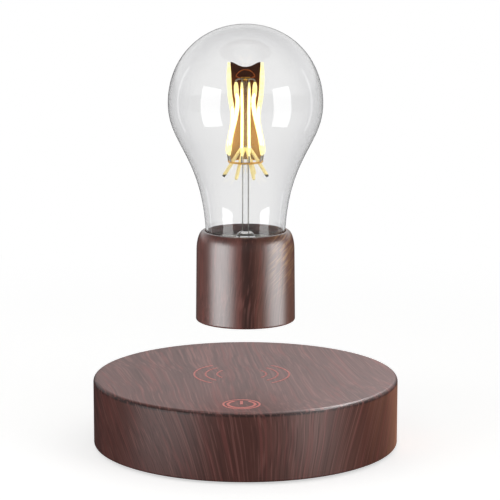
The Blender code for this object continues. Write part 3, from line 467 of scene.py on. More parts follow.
def grain_on_cap(tree, place, tones):
    """Grain coordinates and ground tone on the cap, the ground with its painted shade and reflection, and
    the figured area on it.
    """
    x, y, z = add(tree, "SeparateXYZ", [place]).outputs
    side = add(tree, "Math", [x, CAP_RADIUS], operation="DIVIDE")
    ground_and_light = ground_with_painted_light(tree, side, tones["across"])
    figure = noise_at(tree, place, FIGURE_SIZE, turned=(0, FIGURE_TILT, 0))
    lines = add(tree, "MapRange", [figure, *FIGURE_LINES], **SMOOTH)
    at_right = add(tree, "MapRange", [side, *FIGURE_AT_RIGHT], **SMOOTH)
    upper = add(tree, "MapRange", [z, *FIGURE_UPWARDS], **SMOOTH)
    area = add(tree, "Math", [at_right, upper], operation="MULTIPLY")
    figured = add(tree, "Math", [lines, area], operation="MULTIPLY")
    ground_and_light = add(tree, "Mix", [figured, ground_and_light, tones["gold"]], data_type="RGBA")
    return add(tree, "CombineXYZ", [x, z, y]), ground_and_light


# Across the front, the dark band just right of the middle is painted shade and the paler edges are painted
# reflection; the reddish stripe is print
cap_tones = {
    "across": [(0.0, "#553530"), (0.30, "#4d322e"), (0.40, "#5a3630"), (0.44, "#673c36"), (0.48, "#38201b"),
               (0.53, "#2c1814"), (0.58, "#44261f"), (0.64, "#5c3a30"), (0.80, "#523329"), (1.0, "#6f483a")],
    "zone": "#3f2520", "red": "#6c3a33", "line": "#2e1815", "pale": "#74504a", "gold": "#94704e",
    "contrast": 0.9}
film_on_cap = rosewood_film("rosewood_film_gloss", grain_on_cap, cap_tones, 0.34, 0.5, 1.0, 0.22)

# %% [markdown]
# Most hidden pieces have plain finishes: moulded plastic, sheet metal, ferrite. None of them is one
# flat colour. Grain, mould texture or brushing varies the colour a little, and the roughness and the
# height with it. One function makes them from the material's common colour, a second tone and the
# size of its grain.

# %% Plain finishes
# The size of clouds in the colour, and the depth of the relief, both in grains
CLOUD_SIZE = 10
RELIEF_DEPTH = 0.1


def plain_finish(name, low_tone, high_tone, grain, roughness, metallic=0.0, spread=0.06, bump=0.1,
                 stretch=(1, 1, 1)):
    """Two tones mixed by noise of the grain's size, with roughness and height that follow it."""
    material, tree, place = new_material(name)
    size = Vector(stretch) * grain
    grains = noise_at(tree, place, tuple(size), 3.0)
    clouds = noise_at(tree, place, tuple(size * CLOUD_SIZE))
    both = add(tree, "Mix", [0.5, grains, clouds])
    share = add(tree, "MapRange", [both, *NOISE_MIDDLE])
    colour = add(tree, "Mix", [share, low_tone, high_tone], data_type="RGBA")
    rough = add(tree, "MapRange", [grains, *NOISE_RANGE, roughness - spread, roughness + spread])
    return surface(material, colour, rough, (grains, bump, grain * RELIEF_DEPTH), {"Metallic": metallic})


# ABS moulded in a spark-eroded mould: fine, even grain of about 0.3 mm
black_abs = plain_finish("black_abs_moulded", "#141414", "#202021", 0.3 * MM, 0.5)
white_abs = plain_finish("white_abs_moulded", "#dcd9d2", "#e8e6e0", 0.3 * MM, 0.45, bump=0.05)
# Silicone rubber: matt and slightly dusty
rubber = plain_finish("silicone_rubber_matt", "#151515", "#242423", 0.5 * MM, 0.75)
# Zinc-plated steel: fine drawn lines, bright and a little blue
zinc_steel = plain_finish("zinc_plated_steel", "#a9adb0", "#c9ccce", 0.2 * MM, 0.32, 1.0)
# Soft iron, turned and left bare: grey and a little dull
soft_iron = plain_finish("soft_iron_turned", "#7d7a76", "#8f8c88", 0.3 * MM, 0.45, 1.0)
# Ferrite is pressed and fired like a ceramic: nearly black, with a fine dull grain
ferrite = plain_finish("sintered_ferrite", "#2a2a2c", "#3a3a3d", 0.4 * MM, 0.62)
# A nickel-plated magnet: smooth, bright and slightly yellow
nickel_magnet = plain_finish("nickel_plated_magnet", "#b9b7b1", "#cfcdc8", 0.6 * MM, 0.24, 1.0, bump=0.03)
# Nickel wire, drawn: lines along the wire
nickel_wire = plain_finish("drawn_nickel_wire", "#8e8b86", "#b5b1aa", 0.1 * MM, 0.3, 1.0,
                           stretch=(1, 1, 10))
# The marks are screen-printed in a red ink, which a lacquer's sheen turns to salmon at a low angle; that
# salmon is painted into the ink's colour here, a painted sheen
ink_with_painted_sheen = plain_finish("screen_printed_ink_with_sheen", "#d07670", "#e29088", 0.25 * MM, 0.45, bump=0.05)

# %% [markdown]
# Coils are wound from enamelled copper wire. Each turn is a thin bright line, and the enamel gives it
# an orange-red colour. Rings round the coil's own middle draw the turns on the ends, and rows along the
# height draw them on the side. The wire is 0.5 mm thick, and its turns are drawn wider, so they show.

# %% Wound copper
WIRE_THICKNESS = 0.5 * MM
# A wave texture of scale 1 repeats every 0.314 m, so this draws turns 3.1 mm wide
TURNS_SCALE = 100


def copper_winding(node):
    """Enamelled wire, wound round the middle of a coil."""
    low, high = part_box(node)
    material, tree, place = new_material("enamelled_copper_" + node)
    centred = add(tree, "VectorMath", [place, (low + high) / 2], operation="SUBTRACT")
    pattern = {"Vector": centred, "Scale": TURNS_SCALE, "Distortion": 0.2}
    rings = add(tree, "TexWave", pattern, wave_type="RINGS", rings_direction="Z")
    rows = add(tree, "TexWave", pattern, wave_type="BANDS", bands_direction="Z")
    turns = add(tree, "Math", [rings.outputs["Fac"], rows.outputs["Fac"]], operation="MULTIPLY")
    colour = add(tree, "Mix", [turns, "#7a3418", "#d07a48"], data_type="RGBA")
    return surface(material, colour, 0.34, (turns, 0.5, WIRE_THICKNESS / 2), {"Metallic": 0.9})

# %% [markdown]
# A circuit board is glass-fibre laminate under green lacquer. Copper tracks show through as lighter
# green lines, and the laminate's weave gives a faint grid. Cell borders of a coarse cell pattern make
# a fair net of tracks.

# %% Circuit board
TRACK_SPACING = 3 * MM
TRACK_EDGE = (0.9, 1.0)
THREAD_SIZE = (MM, MM / 8, MM)


def circuit_board(name):
    material, tree, place = new_material(name)
    cells = add(tree, "TexVoronoi", {"Vector": place, "Scale": 1 / TRACK_SPACING}, distance="MANHATTAN",
                feature="F2")
    tracks = add(tree, "MapRange", [cells.outputs["Distance"], *TRACK_EDGE])
    weave = noise_at(tree, place, THREAD_SIZE)
    lacquer = add(tree, "Mix", [weave, "#0d3d1f", "#14502a"], data_type="RGBA")
    colour = add(tree, "Mix", [tracks, lacquer, "#2c7a45"], data_type="RGBA")
    return surface(material, colour, 0.35, (tracks, 0.3, 0.05 * MM))


green_board = circuit_board("fibreglass_board")

# %% [markdown]
# Each solid that isn't rebuilt keeps its shape and gets its finish here: the inner pieces, which show
# only when the lamp is taken apart, and the small hardware.

# %% Finishes for the kept solids
KEPT = {
    "black_plastic": (black_abs, ["bottom_cover", "touch_lead"]),
    "white_plastic": (white_abs, ["module_carrier", "cap_frame", "bulb_collar"]),
    "steel": (zinc_steel, [f"{kind}_screw_{index}" for kind in ("cover", "module")
                           for index in (1, 2, 3, 4)]),
    "iron": (soft_iron, [f"coil_core_{index}" for index in (1, 2, 3, 4)]),
    "ferrite": (ferrite, ["transmitter_ferrite"]),
    "plated_magnet": (nickel_magnet, ["ring_magnet", "magnet_disc"]),
    "circuit_board": (green_board, ["main_board", "hall_board", "touch_board", "receiver_board"]),
}
COILS = ["coil_1", "coil_2", "coil_3", "coil_4", "transmitter_coil", "receiver_coil"]


def dress(node, material):
    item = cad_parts[node]
    item.data.materials.clear()
    item.data.materials.append(material)


for slot, (material, nodes) in KEPT.items():
    for node in nodes:
        dress(node, material)
for node in COILS:
    dress(node, copper_winding(node))
print("kept solids dressed:", sum(len(nodes) for _, nodes in KEPT.values()) + len(COILS))

# %% [markdown]
# The base is a hollow turned housing: a flat top with a softly rounded rim, an upright side, and a
# small radius at the foot. Four screw bosses stand inside and a round hole at the back shows the
# power socket. It could be a cylinder with bevels, but one spun profile gives wall, rim and hollow at
# once. Bosses and hole are then joined and cut, as in the real mould.

# %% Base housing
BASE_WALL = 3.0 * MM
BASE_TOP_THICKNESS = 3.0 * MM
RIM_RADIUS = 1.6 * MM
FOOT_EDGE_RADIUS = 0.8 * MM
BOSS_RADIUS = 3.5 * MM
BOSS_SUNK = 2 * MM
PILOT_RADIUS = 1.6 * MM
BASE_STEPS = 256
INLET_HOLE_RADIUS = 4.3 * MM
JACK_AXIS_HEIGHT = 6.5 * MM
jack_low, jack_high, _ = span("dc_jack")
JACK_AXIS = jack_low.z + JACK_AXIS_HEIGHT
COVER_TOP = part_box("bottom_cover")[1].z


def base_housing_shape():
    top, bottom, outer = base_high.z, base_low.z, BASE_RADIUS
    inner, ceiling = outer - BASE_WALL, top - BASE_TOP_THICKNESS
    profile = [(0, top)]
    profile += rounded(outer, top, RIM_RADIUS, 1, 10)
    profile += rounded(outer, bottom, FOOT_EDGE_RADIUS, -1, 6)
    profile += [(inner, bottom), (inner, ceiling), (0, ceiling)]
    shape = turn(profile, BASE_STEPS, closed=False)
    for index in (1, 2, 3, 4):
        screw = f"cover_screw_{index}"
        boss = cylinder(BOSS_RADIUS, COVER_TOP - BOSS_SUNK, ceiling + PAST)
        pilot = cylinder(PILOT_RADIUS, 0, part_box(screw)[1].z + PAST)
        shape = combine(shape, move(boss, over(screw)), "UNION")
        shape = combine(shape, move(pilot, over(screw)), "DIFFERENCE")
    hole = cylinder(INLET_HOLE_RADIUS, -2 * BASE_WALL, 2 * BASE_WALL)
    across = Matrix.Translation((0, outer, JACK_AXIS)) @ Matrix.Rotation(math.pi / 2, 4, "X")
    return combine(shape, move(hole, across), "DIFFERENCE")


base_housing = finish_piece("base_housing", base_housing_shape(), "base", film_on_base,
                            ["base_shell"])

# %% [markdown]
# The marks on the base's top are printed in thin red-orange lines: three arcs on each side, which say
# that the base sends power, and the usual on and off sign over the touch sensor. As in the picture,
# they stand a little to the left of the base's middle. An arc is a short spin of a small flat section,
# so the line has a real thickness of ink.

# %% Printed marks
INK_HEIGHT = 0.05 * MM
MARK_LINE = 0.75 * MM
# Each pair of arcs: its radius, and its width in degrees
WAVES = ((9.7 * MM, 74), (14.3 * MM, 92), (18.8 * MM, 102))
TOUCH_RING_RADIUS = 6.8 * MM
TOUCH_SIGN_RADIUS = 5.1 * MM
TOUCH_SIGN_LINE = 1.1 * MM
MARKS_ASIDE = -1.5 * MM
WAVES_BACK = 1.5 * MM
TOUCH_FORWARD = 2.5 * MM
TOUCH_SIGN_GAP = 64
DEGREES_PER_STEP = 3
INK_LOW, INK_TOP = base_high.z - INK_HEIGHT, base_high.z + INK_HEIGHT


def arc_strip(radius, line, middle, degrees, centre):
    """A flat printed arc or ring: a small section spun by some degrees, round a middle from +X."""
    inner, outer = radius - line / 2, radius + line / 2
    section = ((inner, INK_LOW), (outer, INK_LOW), (outer, INK_TOP), (inner, INK_TOP))
    steps = degrees // DEGREES_PER_STEP
    if degrees == 360:
        return move(turn(section, steps), Matrix.Translation((*centre, 0)))
    shape = bmesh.new()
    shape.faces.new([shape.verts.new((x, 0, z)) for x, z in section])
    start = Matrix.Rotation(math.radians(middle - degrees / 2), 4, "Z")
    return move(spin(shape, degrees, steps), Matrix.Translation((*centre, 0)) @ start)


def gather(shapes):
    """Several separate shapes in one."""
    whole = bmesh.new()
    for shape in shapes:
        mesh = bpy.data.meshes.new("part")
        shape.to_mesh(mesh)
        shape.free()
        whole.from_mesh(mesh)
        bpy.data.meshes.remove(mesh)
    return whole


waves = [arc_strip(radius, MARK_LINE, side, degrees, (MARKS_ASIDE, WAVES_BACK))
         for radius, degrees in WAVES for side in (0, 180)]
power_marks = finish_piece("power_wave_marks", gather(waves), "base", ink_with_painted_sheen)

TOUCH_Y = over("touch_board").translation.y - TOUCH_FORWARD
half_bar = TOUCH_SIGN_LINE / 2
sign = [arc_strip(TOUCH_RING_RADIUS, MARK_LINE, 0, 360, (MARKS_ASIDE, TOUCH_Y)),
        arc_strip(TOUCH_SIGN_RADIUS, TOUCH_SIGN_LINE, -90, 360 - TOUCH_SIGN_GAP, (MARKS_ASIDE, TOUCH_Y)),
        block((MARKS_ASIDE - half_bar, TOUCH_Y, INK_LOW),
              (MARKS_ASIDE + half_bar, TOUCH_Y + TOUCH_SIGN_RADIUS, INK_TOP))]
touch_mark = finish_piece("touch_mark", gather(sign), "base", ink_with_painted_sheen)

# %% [markdown]
# Under the base sit four rubber feet, which keep it from sliding, and the power socket looks out at
# the back. The feet are turned with a rounded edge. The socket is a bevelled block with a round bore
# and a contact pin in its middle.

# %% Feet and power socket
FOOT_ROUNDING = 0.4 * MM
SOCKET_EDGE = 0.3 * MM
SOCKET_BORE_RADIUS = 3.15 * MM
SOCKET_BORE_DEPTH = 9.5 * MM
SOCKET_PIN_RADIUS = 1.0 * MM
SOCKET_PIN_RECESS = 1.5 * MM

for index in (1, 2, 3, 4):
    node = f"foot_{index}"
    foot = move(disc_for(node, FOOT_ROUNDING, 6, 64), over(node))
    finish_piece(f"rubber_foot_{index}", foot, "base", rubber, [node])


def socket_shape():
    shape = block(jack_low, jack_high)
    bmesh.ops.bevel(shape, geom=list(shape.edges), offset=SOCKET_EDGE, offset_type="OFFSET", segments=3,
                    profile=0.5, affect="EDGES", material=-1)
    front = Matrix.Translation((0, jack_high.y, JACK_AXIS)) @ Matrix.Rotation(math.pi / 2, 4, "X")
    bore = cylinder(SOCKET_BORE_RADIUS, -SOCKET_BORE_DEPTH, SOCKET_BORE_DEPTH)
    return combine(shape, move(bore, front), "DIFFERENCE")


def socket_pin_shape():
    """A pin with a round tip; its foot is sunk into the bore's floor."""
    start = jack_high.y - SOCKET_BORE_DEPTH - PAST
    tip = jack_high.y - SOCKET_PIN_RECESS
    rounding = arc((0, tip - SOCKET_PIN_RADIUS), (SOCKET_PIN_RADIUS, SOCKET_PIN_RADIUS), 0, 80, 6)
    points = [(0, start, JACK_AXIS)] + [(0, y, JACK_AXIS) for _, y in rounding]
    return sweep(points, [SOCKET_PIN_RADIUS] + [radius for radius, _ in rounding], 32)


finish_piece("power_socket", socket_shape(), "base", black_abs, ["dc_jack"])
finish_piece("power_socket_pin", socket_pin_shape(), "base", nickel_wire)

# %% [markdown]
# The cap is a thick turned shell with a soft shoulder, slightly wider at its foot, open at the bottom,
# where a thin floor closes it over the floating magnet. Its mouth holds the neck of the bulb.

# %% Cap and its floor
NECK_CLEARANCE = 0.3 * MM
LIP_WIDTH = 0.5 * MM
SHOULDER = (2.8 * MM, 7.7 * MM)
CAP_WALL = 1.9 * MM
CAP_TAPER = 0.3 * MM
CAP_FOOT_RADIUS = 0.8 * MM
CAP_FLOOR_EDGE = 0.3 * MM
MOUTH_DEPTH = 2.5 * MM
COLLAR_CLEARANCE = 0.3 * MM
CAP_STEPS = 192
MOUTH_RADIUS = CAP_RADIUS - CAP_TAPER - SHOULDER[0] - LIP_WIDTH
COLLAR_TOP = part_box("bulb_collar")[1].z


def cap_shape():
    top, bottom = cap_high.z, cap_low.z
    inner = CAP_RADIUS - CAP_TAPER - CAP_WALL
    profile = [(MOUTH_RADIUS, top)]
    profile += arc((MOUTH_RADIUS + LIP_WIDTH, top - SHOULDER[1]), SHOULDER, 90, 0, 24)
    profile += rounded(CAP_RADIUS, bottom, CAP_FOOT_RADIUS, -1, 8)
    profile += [(inner, bottom), (inner, COLLAR_TOP + COLLAR_CLEARANCE), (MOUTH_RADIUS, top - MOUTH_DEPTH)]
    return turn(profile, CAP_STEPS)


cap_housing = finish_piece("cap_housing", cap_shape(), "floating_bulb", film_on_cap, ["cap_shell"])
cap_floor = finish_piece("cap_floor", disc_for("cap_bottom", CAP_FLOOR_EDGE, 4, CAP_STEPS),
                         "floating_bulb", film_on_cap, ["cap_bottom"])

# %% [markdown]
# The bulb is blown soda-lime glass, under a millimetre thick, with a faint grey tone. A thin absorbing
# volume inside the wall gives the tone, and a grey tint that grows as the surface turns away from the eye
# paints a darker shade along the outline, a painted shade.
# Light for shadows is let straight through, so the lamps still reach what is inside.

# %% Glass
RIPPLE_SIZE = 18 * MM
# How far a surface has turned away from the eye where its painted outline shade starts and where it is full
OUTLINE_SHADE_RANGE = (0.18, 0.52)


def clear_glass(name, outline_shade, absorption):
    """Smooth glass with a grey that grows with the way through it, per metre, and a painted shade along its
    outline.
    """
    material, tree, place = new_material(name)
    # Blown glass is never quite even: a slow ripple of some hundredths of a millimetre
    ripple = noise_at(tree, place, RIPPLE_SIZE)
    bump = add(tree, "Bump", {"Height": ripple, "Strength": 0.15, "Distance": 0.2 * MM})
    facing = add(tree, "LayerWeight", {"Blend": 0.5}).outputs["Facing"]
    turned_away = add(tree, "MapRange", [facing, *OUTLINE_SHADE_RANGE], **SMOOTH)
    tint = add(tree, "Mix", [turned_away, "#ffffff", outline_shade], data_type="RGBA")
    glass = add(tree, "BsdfPrincipled", {"Base Color": tint, "Roughness": 0.0, "IOR": 1.5,
                                         "Transmission Weight": 1.0, "Normal": bump})
    through = add(tree, "BsdfTransparent", {"Color": "#ffffff"})
    for_shadow = add(tree, "LightPath").outputs["Is Shadow Ray"]
    either = add(tree, "MixShader", [for_shadow, glass, through])
    volume = add(tree, "VolumeAbsorption", {"Color": "#000000", "Density": absorption})
    add(tree, "OutputMaterial", {"Surface": either, "Volume": volume})
    return material


blown_glass = clear_glass("blown_soda_lime_glass", "#efeff0", 60.0)
stem_glass = clear_glass("drawn_lead_free_glass", "#d8d8d8", 20.0)

# %% [markdown]
# The bulb's outline is two smooth curves that meet at its widest ring: a round crown above, and a
# shoulder below that swings into a straight neck. Spun, it is a skin without thickness, and a Solidify
# modifier then gives the wall inwards, so the outside keeps its size.

# %% Bulb
GLASS_THICKNESS = 0.8 * MM
WIDEST_ABOVE_CAP = 49.8 * MM
CROWN_TOP_HANDLE = 17.2 * MM
CROWN_SIDE_HANDLE = 17.4 * MM
SHOULDER_TOP_HANDLE = 15.4 * MM
NECK_HANDLE = 29.0 * MM
NECK_FLARE = 1.8 * MM
NECK_STRAIGHT = 0.8 * MM
NECK_RADIUS = MOUTH_RADIUS - NECK_CLEARANCE
GLASS_STEPS = 160


def bulb_shape():
    top, widest = glass_high.z, cap_high.z + WIDEST_ABOVE_CAP
    neck = cap_high.z + NECK_STRAIGHT
    profile = bezier([(0, top), (CROWN_TOP_HANDLE, top), (GLASS_RADIUS, widest + CROWN_SIDE_HANDLE),
                      (GLASS_RADIUS, widest)], 32)
    profile += bezier([(GLASS_RADIUS, widest), (GLASS_RADIUS, widest - SHOULDER_TOP_HANDLE),
                       (NECK_RADIUS + NECK_FLARE, neck + NECK_HANDLE), (NECK_RADIUS, neck)], 36)[1:]
    profile += [(NECK_RADIUS, (neck + glass_low.z) / 2), (NECK_RADIUS, glass_low.z)]
    return turn(profile, GLASS_STEPS, closed=False)


bulb = finish_piece("bulb_glass", bulb_shape(), "floating_bulb", blown_glass, ["glass_bulb"])
wall = bulb.modifiers.new("wall", "SOLIDIFY")
wall.thickness = GLASS_THICKNESS
wall.offset = -1
wall.use_even_offset = True

# %% [markdown]
# Inside the neck stands the glass mount: a trumpet-shaped flare that is melted to the neck at its
# foot, a flat press that seals the two lead wires, and a thin rod that carries the filaments.

# %% Glass mount
ROD_RADIUS = 1.0 * MM
ROD_TIP_EDGE = 0.3 * MM
ROD_ROOT = 2 * MM
STEM_FLARE_HEIGHT = 6.0 * MM
STEM_TUBE_RADIUS = 4.2 * MM
STEM_WALL = 0.9 * MM
STEM_TUBE_HEIGHT = 4.0 * MM
STEM_PRESS_HEIGHT = 3.5 * MM
STEM_PRESS_TOP = stem_low.z + STEM_FLARE_HEIGHT + STEM_TUBE_HEIGHT + STEM_PRESS_HEIGHT
# How far down and inwards the handles of the flare's curves reach, and how wide its flat rim is
FLARE_HANDLES = (3 * MM, 4 * MM)
BORE_HANDLES = (3.4 * MM, 5 * MM)
FLARE_RIM = 3 * MM


def mount_shape():
    bottom = stem_low.z
    tube = bottom + STEM_FLARE_HEIGHT
    press = tube + STEM_TUBE_HEIGHT
    bore, rim = STEM_TUBE_RADIUS - STEM_WALL, bottom + STEM_WALL
    profile = [(0, stem_high.z)]
    profile += rounded(ROD_RADIUS, stem_high.z, ROD_TIP_EDGE, 1, 4)
    profile += [(ROD_RADIUS, STEM_PRESS_TOP + ROD_ROOT)]
    profile += bezier([(ROD_RADIUS, STEM_PRESS_TOP), (STEM_TUBE_RADIUS, STEM_PRESS_TOP),
                       (STEM_TUBE_RADIUS, press), (STEM_TUBE_RADIUS, press - PAST)], 14)
    down, inwards = FLARE_HANDLES
    profile += bezier([(STEM_TUBE_RADIUS, tube + PAST), (STEM_TUBE_RADIUS, tube - down),
                       (FLARE_RADIUS - inwards, rim), (FLARE_RADIUS, rim)], 14)
    profile += [(FLARE_RADIUS, bottom)]
    down, inwards = BORE_HANDLES
    profile += bezier([(FLARE_RADIUS - FLARE_RIM, bottom), (FLARE_RADIUS - inwards, bottom),
                       (bore, tube - down), (bore, tube + PAST)], 12)
    profile += [(bore, press), (0, press)]
    return turn(profile, 96, closed=False)


glass_mount = finish_piece("glass_mount", mount_shape(), "floating_bulb", stem_glass, ["glass_stem"])

# %% [markdown]
# Thin metal parts carry the filaments. Gold plating is a metal with a warm colour and a fine drawn
# grain. The spider's legs are a paler gold, painted light for the filaments' glow on them, and the outer
# two are dark just above their tips. The plate behind the filaments is bronze, its colour nearly black
# brown at the top and tan at the foot: painted shade above, and painted light below, where it glows in
# the filaments' light. Dark tips and this painted light both follow the height, so height picks them.

# %% Wire finishes
# The real grain is finer, and it is made this coarse so that it shows
WIRE_GRAIN = 0.15 * MM
PLATING_GRAIN = 0.4 * MM
OUTER_LEG = 6 * MM
# Over the legs' lowest point: up to where a tip is dark, and from where it is plain
DARK_TIP = (0.9 * MM, 1.5 * MM)
ROLLED_GRAIN = (0.2 * MM, 1 * MM, 2 * MM)
# The borders between the painted tones wander by up to this height, in clouds of this size
TINT_SPREAD = 4 * MM
TINT_CLOUDS = 2.5 * MM
# From the foot up: tan, painted light where the filaments' glow falls, to nearly black brown at the top,
# painted shade
SHADE_AND_GLOW_TONES = [(0.0, "#b08c58"), (0.4, "#9a7240"), (0.64, "#6b4020"), (0.76, "#4a2408"), (0.86, "#33180a")]

gold_wire = plain_finish("gold_plated_wire", "#dc9c3c", "#f4c668", WIRE_GRAIN, 0.35, 1.0)
copper_wire = plain_finish("drawn_copper_wire", "#a04c22", "#c8743c", WIRE_GRAIN, 0.3, 1.0)


def gold_with_painted_light(name, tip):
    """Pale gold plating, its paleness painted light; legs far out to the side are dark close above their
    tip's height.
    """
    material, tree, place = new_material(name)
    x, _, z = add(tree, "SeparateXYZ", [place]).outputs
    aside = add(tree, "Math", [x], operation="ABSOLUTE")
    outer = add(tree, "Math", [aside, OUTER_LEG], operation="GREATER_THAN")
    plating_and_light = add(tree, "Mix", [noise_at(tree, place, PLATING_GRAIN, 2.0), "#f0d67c", "#fff2bc"],
                  data_type="RGBA")
    dark, plain = DARK_TIP
    dark_tip = add(tree, "MapRange", [z, tip + dark, tip + plain, outer, 0.0])
    colour = add(tree, "Mix", [dark_tip, plating_and_light, "#1c120a"], data_type="RGBA")
    return surface(material, colour, 0.4, others={"Metallic": 0.2})


def bronze_with_painted_light(name, low, high):
    """Bronze sheet whose colour changes with height, painted shade above and painted light below, over a
    rolled grain.
    """
    material, tree, place = new_material(name)
    height = add(tree, "SeparateXYZ", [place]).outputs["Z"]
    uneven = noise_at(tree, place, TINT_CLOUDS, 3.0)
    lifted = add(tree, "Math", [uneven, TINT_SPREAD, height], operation="MULTIPLY_ADD")
    share = add(tree, "MapRange", [lifted, low, high + TINT_SPREAD])
    colour = add(tree, "ValToRGB", [share], stops=SHADE_AND_GLOW_TONES)
    grains = noise_at(tree, place, ROLLED_GRAIN, 2.0)
    rough = add(tree, "MapRange", [grains, *NOISE_RANGE, 0.45, 0.6])
    return surface(material, colour, rough, (grains, 0.1, 0.02 * MM), {"Specular IOR Level": 0.05})


plate_low, plate_high, _ = span("filament_plate")
bronze_sheet = bronze_with_painted_light("bronze_painted_shade_and_glow", plate_low.z, plate_high.z)

# %% [markdown]
# A small gold-plated hub sits on the rod's tip, and a ring of gold-plated wire lies lower down. Both
# are turned. The ring could be a torus, but a small circle that is spun lands at its height at once.

# %% Hub and ring
HUB_EDGE = 0.2 * MM
HUB_HEIGHT = (hub_low.z + hub_high.z) / 2
RING_WIRE = 0.4 * MM
RING_RADIUS = RING_OUTER_RADIUS - RING_WIRE
RING_HEIGHT = (ring_low.z + ring_high.z) / 2


def wire_ring_shape():
    section = arc((RING_RADIUS, RING_HEIGHT), (RING_WIRE, RING_WIRE), 0, 360, 16)[:-1]
    return turn(section, 96)


hub = disc_for("filament_hub", HUB_EDGE, 5, 64, both=True)
finish_piece("gold_hub", hub, "floating_bulb", gold_wire, ["filament_hub"])
finish_piece("gold_ring", wire_ring_shape(), "floating_bulb", gold_wire, ["lower_ring"])

# %% [markdown]
# A spider of six legs grips the rod. Its legs reach out from a sleeve to just inside the ring, and
# slope down and outwards from there. A bow of copper wire stands on the hub, and two nickel wires come
# up through the press and end at the sleeve. A curve with a bevel could make all of these. A circle
# carried along each path does it with even rows of faces, and makes a leg thinner at its tip.

# %% Spider, copper loop and lead wires
SPIDER_LEG_RADIUS = 0.7 * MM
SPIDER_LEG_TIP = 0.56 * MM
SPIDER_LEG_ROOT = 0.2 * MM
SPIDER_HUB_RADIUS = 2.0 * MM
SPIDER_BORE_CLEARANCE = 0.1 * MM
SPIDER_FOOT_RADIUS = 8.6 * MM
SPIDER_KNEE_GAP = 1.6 * MM
SPIDER_LEG_DROP = 6.0 * MM
SPIDER_LEG_ANGLES = (0, 65, 112, 180, 245, 292)
# Where a leg's curve has its handles, as shares of the way to the knee and from there to the end
SPIDER_HANDLES = (0.7, 0.2)
SPIDER_LEG_STEPS = 14
LEAD_RADIUS = 0.17 * MM
LEAD_OFFSET = 2.4 * MM
LEAD_ANGLE = 300
LOOP_HALF_WIDTH = 3.75 * MM
LOOP_HEIGHT = 3.5 * MM
LOOP_FORWARD = -1.2 * MM
LOOP_WIRE = 0.2 * MM
LOOP_START_DEGREES = 15
LOOP_ROOT = 0.8 * HUB_RADIUS
spider_low, spider_high, _ = span("lower_spider")
SPIDER_HUB_HALF = 0.8 * MM
SPIDER_HEIGHT = spider_high.z - SPIDER_HUB_HALF
SPIDER_HUB_LOW = SPIDER_HEIGHT - SPIDER_HUB_HALF


def on_circle(radius, degrees, height=0.0):
    angle = math.radians(degrees)
    return Vector((radius * math.cos(angle), radius * math.sin(angle), height))


def spider_shape():
    bore, outer = ROD_RADIUS + SPIDER_BORE_CLEARANCE, SPIDER_HUB_RADIUS
    low, high = SPIDER_HUB_LOW, spider_high.z
    pieces = [turn([(outer, high), (outer, low), (bore, low), (bore, high)], 48)]
    to_knee, to_end = SPIDER_HANDLES
    for turned_to in SPIDER_LEG_ANGLES:
        start = on_circle(outer - SPIDER_LEG_ROOT, turned_to, SPIDER_HEIGHT)
        knee = on_circle(RING_RADIUS - SPIDER_KNEE_GAP, turned_to, RING_HEIGHT)
        end = on_circle(SPIDER_FOOT_RADIUS, turned_to, RING_HEIGHT - SPIDER_LEG_DROP)
        handles = [start.lerp(knee, to_knee), knee.lerp(end, to_end)]
        path = bezier([start, *handles, end], SPIDER_LEG_STEPS)
        pieces.append(sweep(path, [SPIDER_LEG_RADIUS] * SPIDER_LEG_STEPS + [SPIDER_LEG_TIP], 16))
    return gather(pieces)


def loop_shape():
    """A wire loop that stands on the hub, in front of the bronze plate."""
    bow = arc((0, HUB_HEIGHT), (LOOP_HALF_WIDTH, LOOP_HEIGHT), LOOP_START_DEGREES,
              180 - LOOP_START_DEGREES, 15)
    outline = [(LOOP_ROOT, HUB_HEIGHT), *bow, (-LOOP_ROOT, HUB_HEIGHT)]
    return sweep([(x, LOOP_FORWARD, height) for x, height in outline], LOOP_WIRE, 10)


def lead_shape(turned_to):
    side = LEAD_ANGLE + turned_to
    points = [on_circle(LEAD_OFFSET, side, height)
              for height in (stem_low.z + PAST, STEM_PRESS_TOP, SPIDER_HUB_LOW)]
    return sweep(points + [on_circle(SPIDER_HUB_RADIUS, side, SPIDER_HEIGHT)], LEAD_RADIUS, 12)


spider_metal = gold_with_painted_light("pale_gold_wire_painted_light", spider_low.z)
finish_piece("gold_spider", spider_shape(), "floating_bulb", spider_metal, ["lower_spider"])
finish_piece("copper_loop", loop_shape(), "floating_bulb", copper_wire)
for side, turned_to in (("right", 0), ("left", 180)):
    finish_piece(f"nickel_lead_{side}", lead_shape(turned_to), "floating_bulb", nickel_wire,
                 [f"lead_wire_{side}"])

# %% [markdown]
# The bronze plate is cut from thin sheet. Its top edge dips in the middle like a saddle, its sides are
# drawn in at the waist, and a window near the foot lets the spider's hub through. The outline is drawn
# from curves on one side and mirrored, filled as one face, and extruded by the sheet's thickness.

# %% Bronze plate
SADDLE_DIP = 1.9 * MM
PLATE_TOP_HALF = 5.8 * MM
PLATE_WAIST_HALF = 4.5 * MM
PLATE_FOOT_HALF = 6.1 * MM
WAIST_HEIGHT = (plate_low.z + plate_high.z) / 2
WINDOW_HALF = 2.2 * MM
WINDOW_LOW = SPIDER_HUB_LOW - 0.3 * MM
WINDOW_TOP = spider_high.z + 0.2 * MM
# Where the curves have their handles, as shares of the half width at the top, and of the way from the
# waist to an end
SADDLE_HANDLES = (0.5, 0.7)
UPPER_HANDLES = (0.12, 0.35)
LOWER_HANDLES = (0.30, 0.62)


def waist_curve(upper, waist, lower, steps):
    """Points (x, y, z) from an upper end through a waist to a lower end, upright at all three."""

    def handle(point, end, share):
        return point[0], point[1], waist[2] + (end[2] - waist[2]) * share

    first, second = UPPER_HANDLES
    points = bezier([upper, handle(upper, upper, first), handle(waist, upper, second), waist], steps)
    first, second = LOWER_HANDLES
    points += bezier([waist, handle(waist, lower, first), handle(lower, lower, second), lower], steps)[1:]
    return points


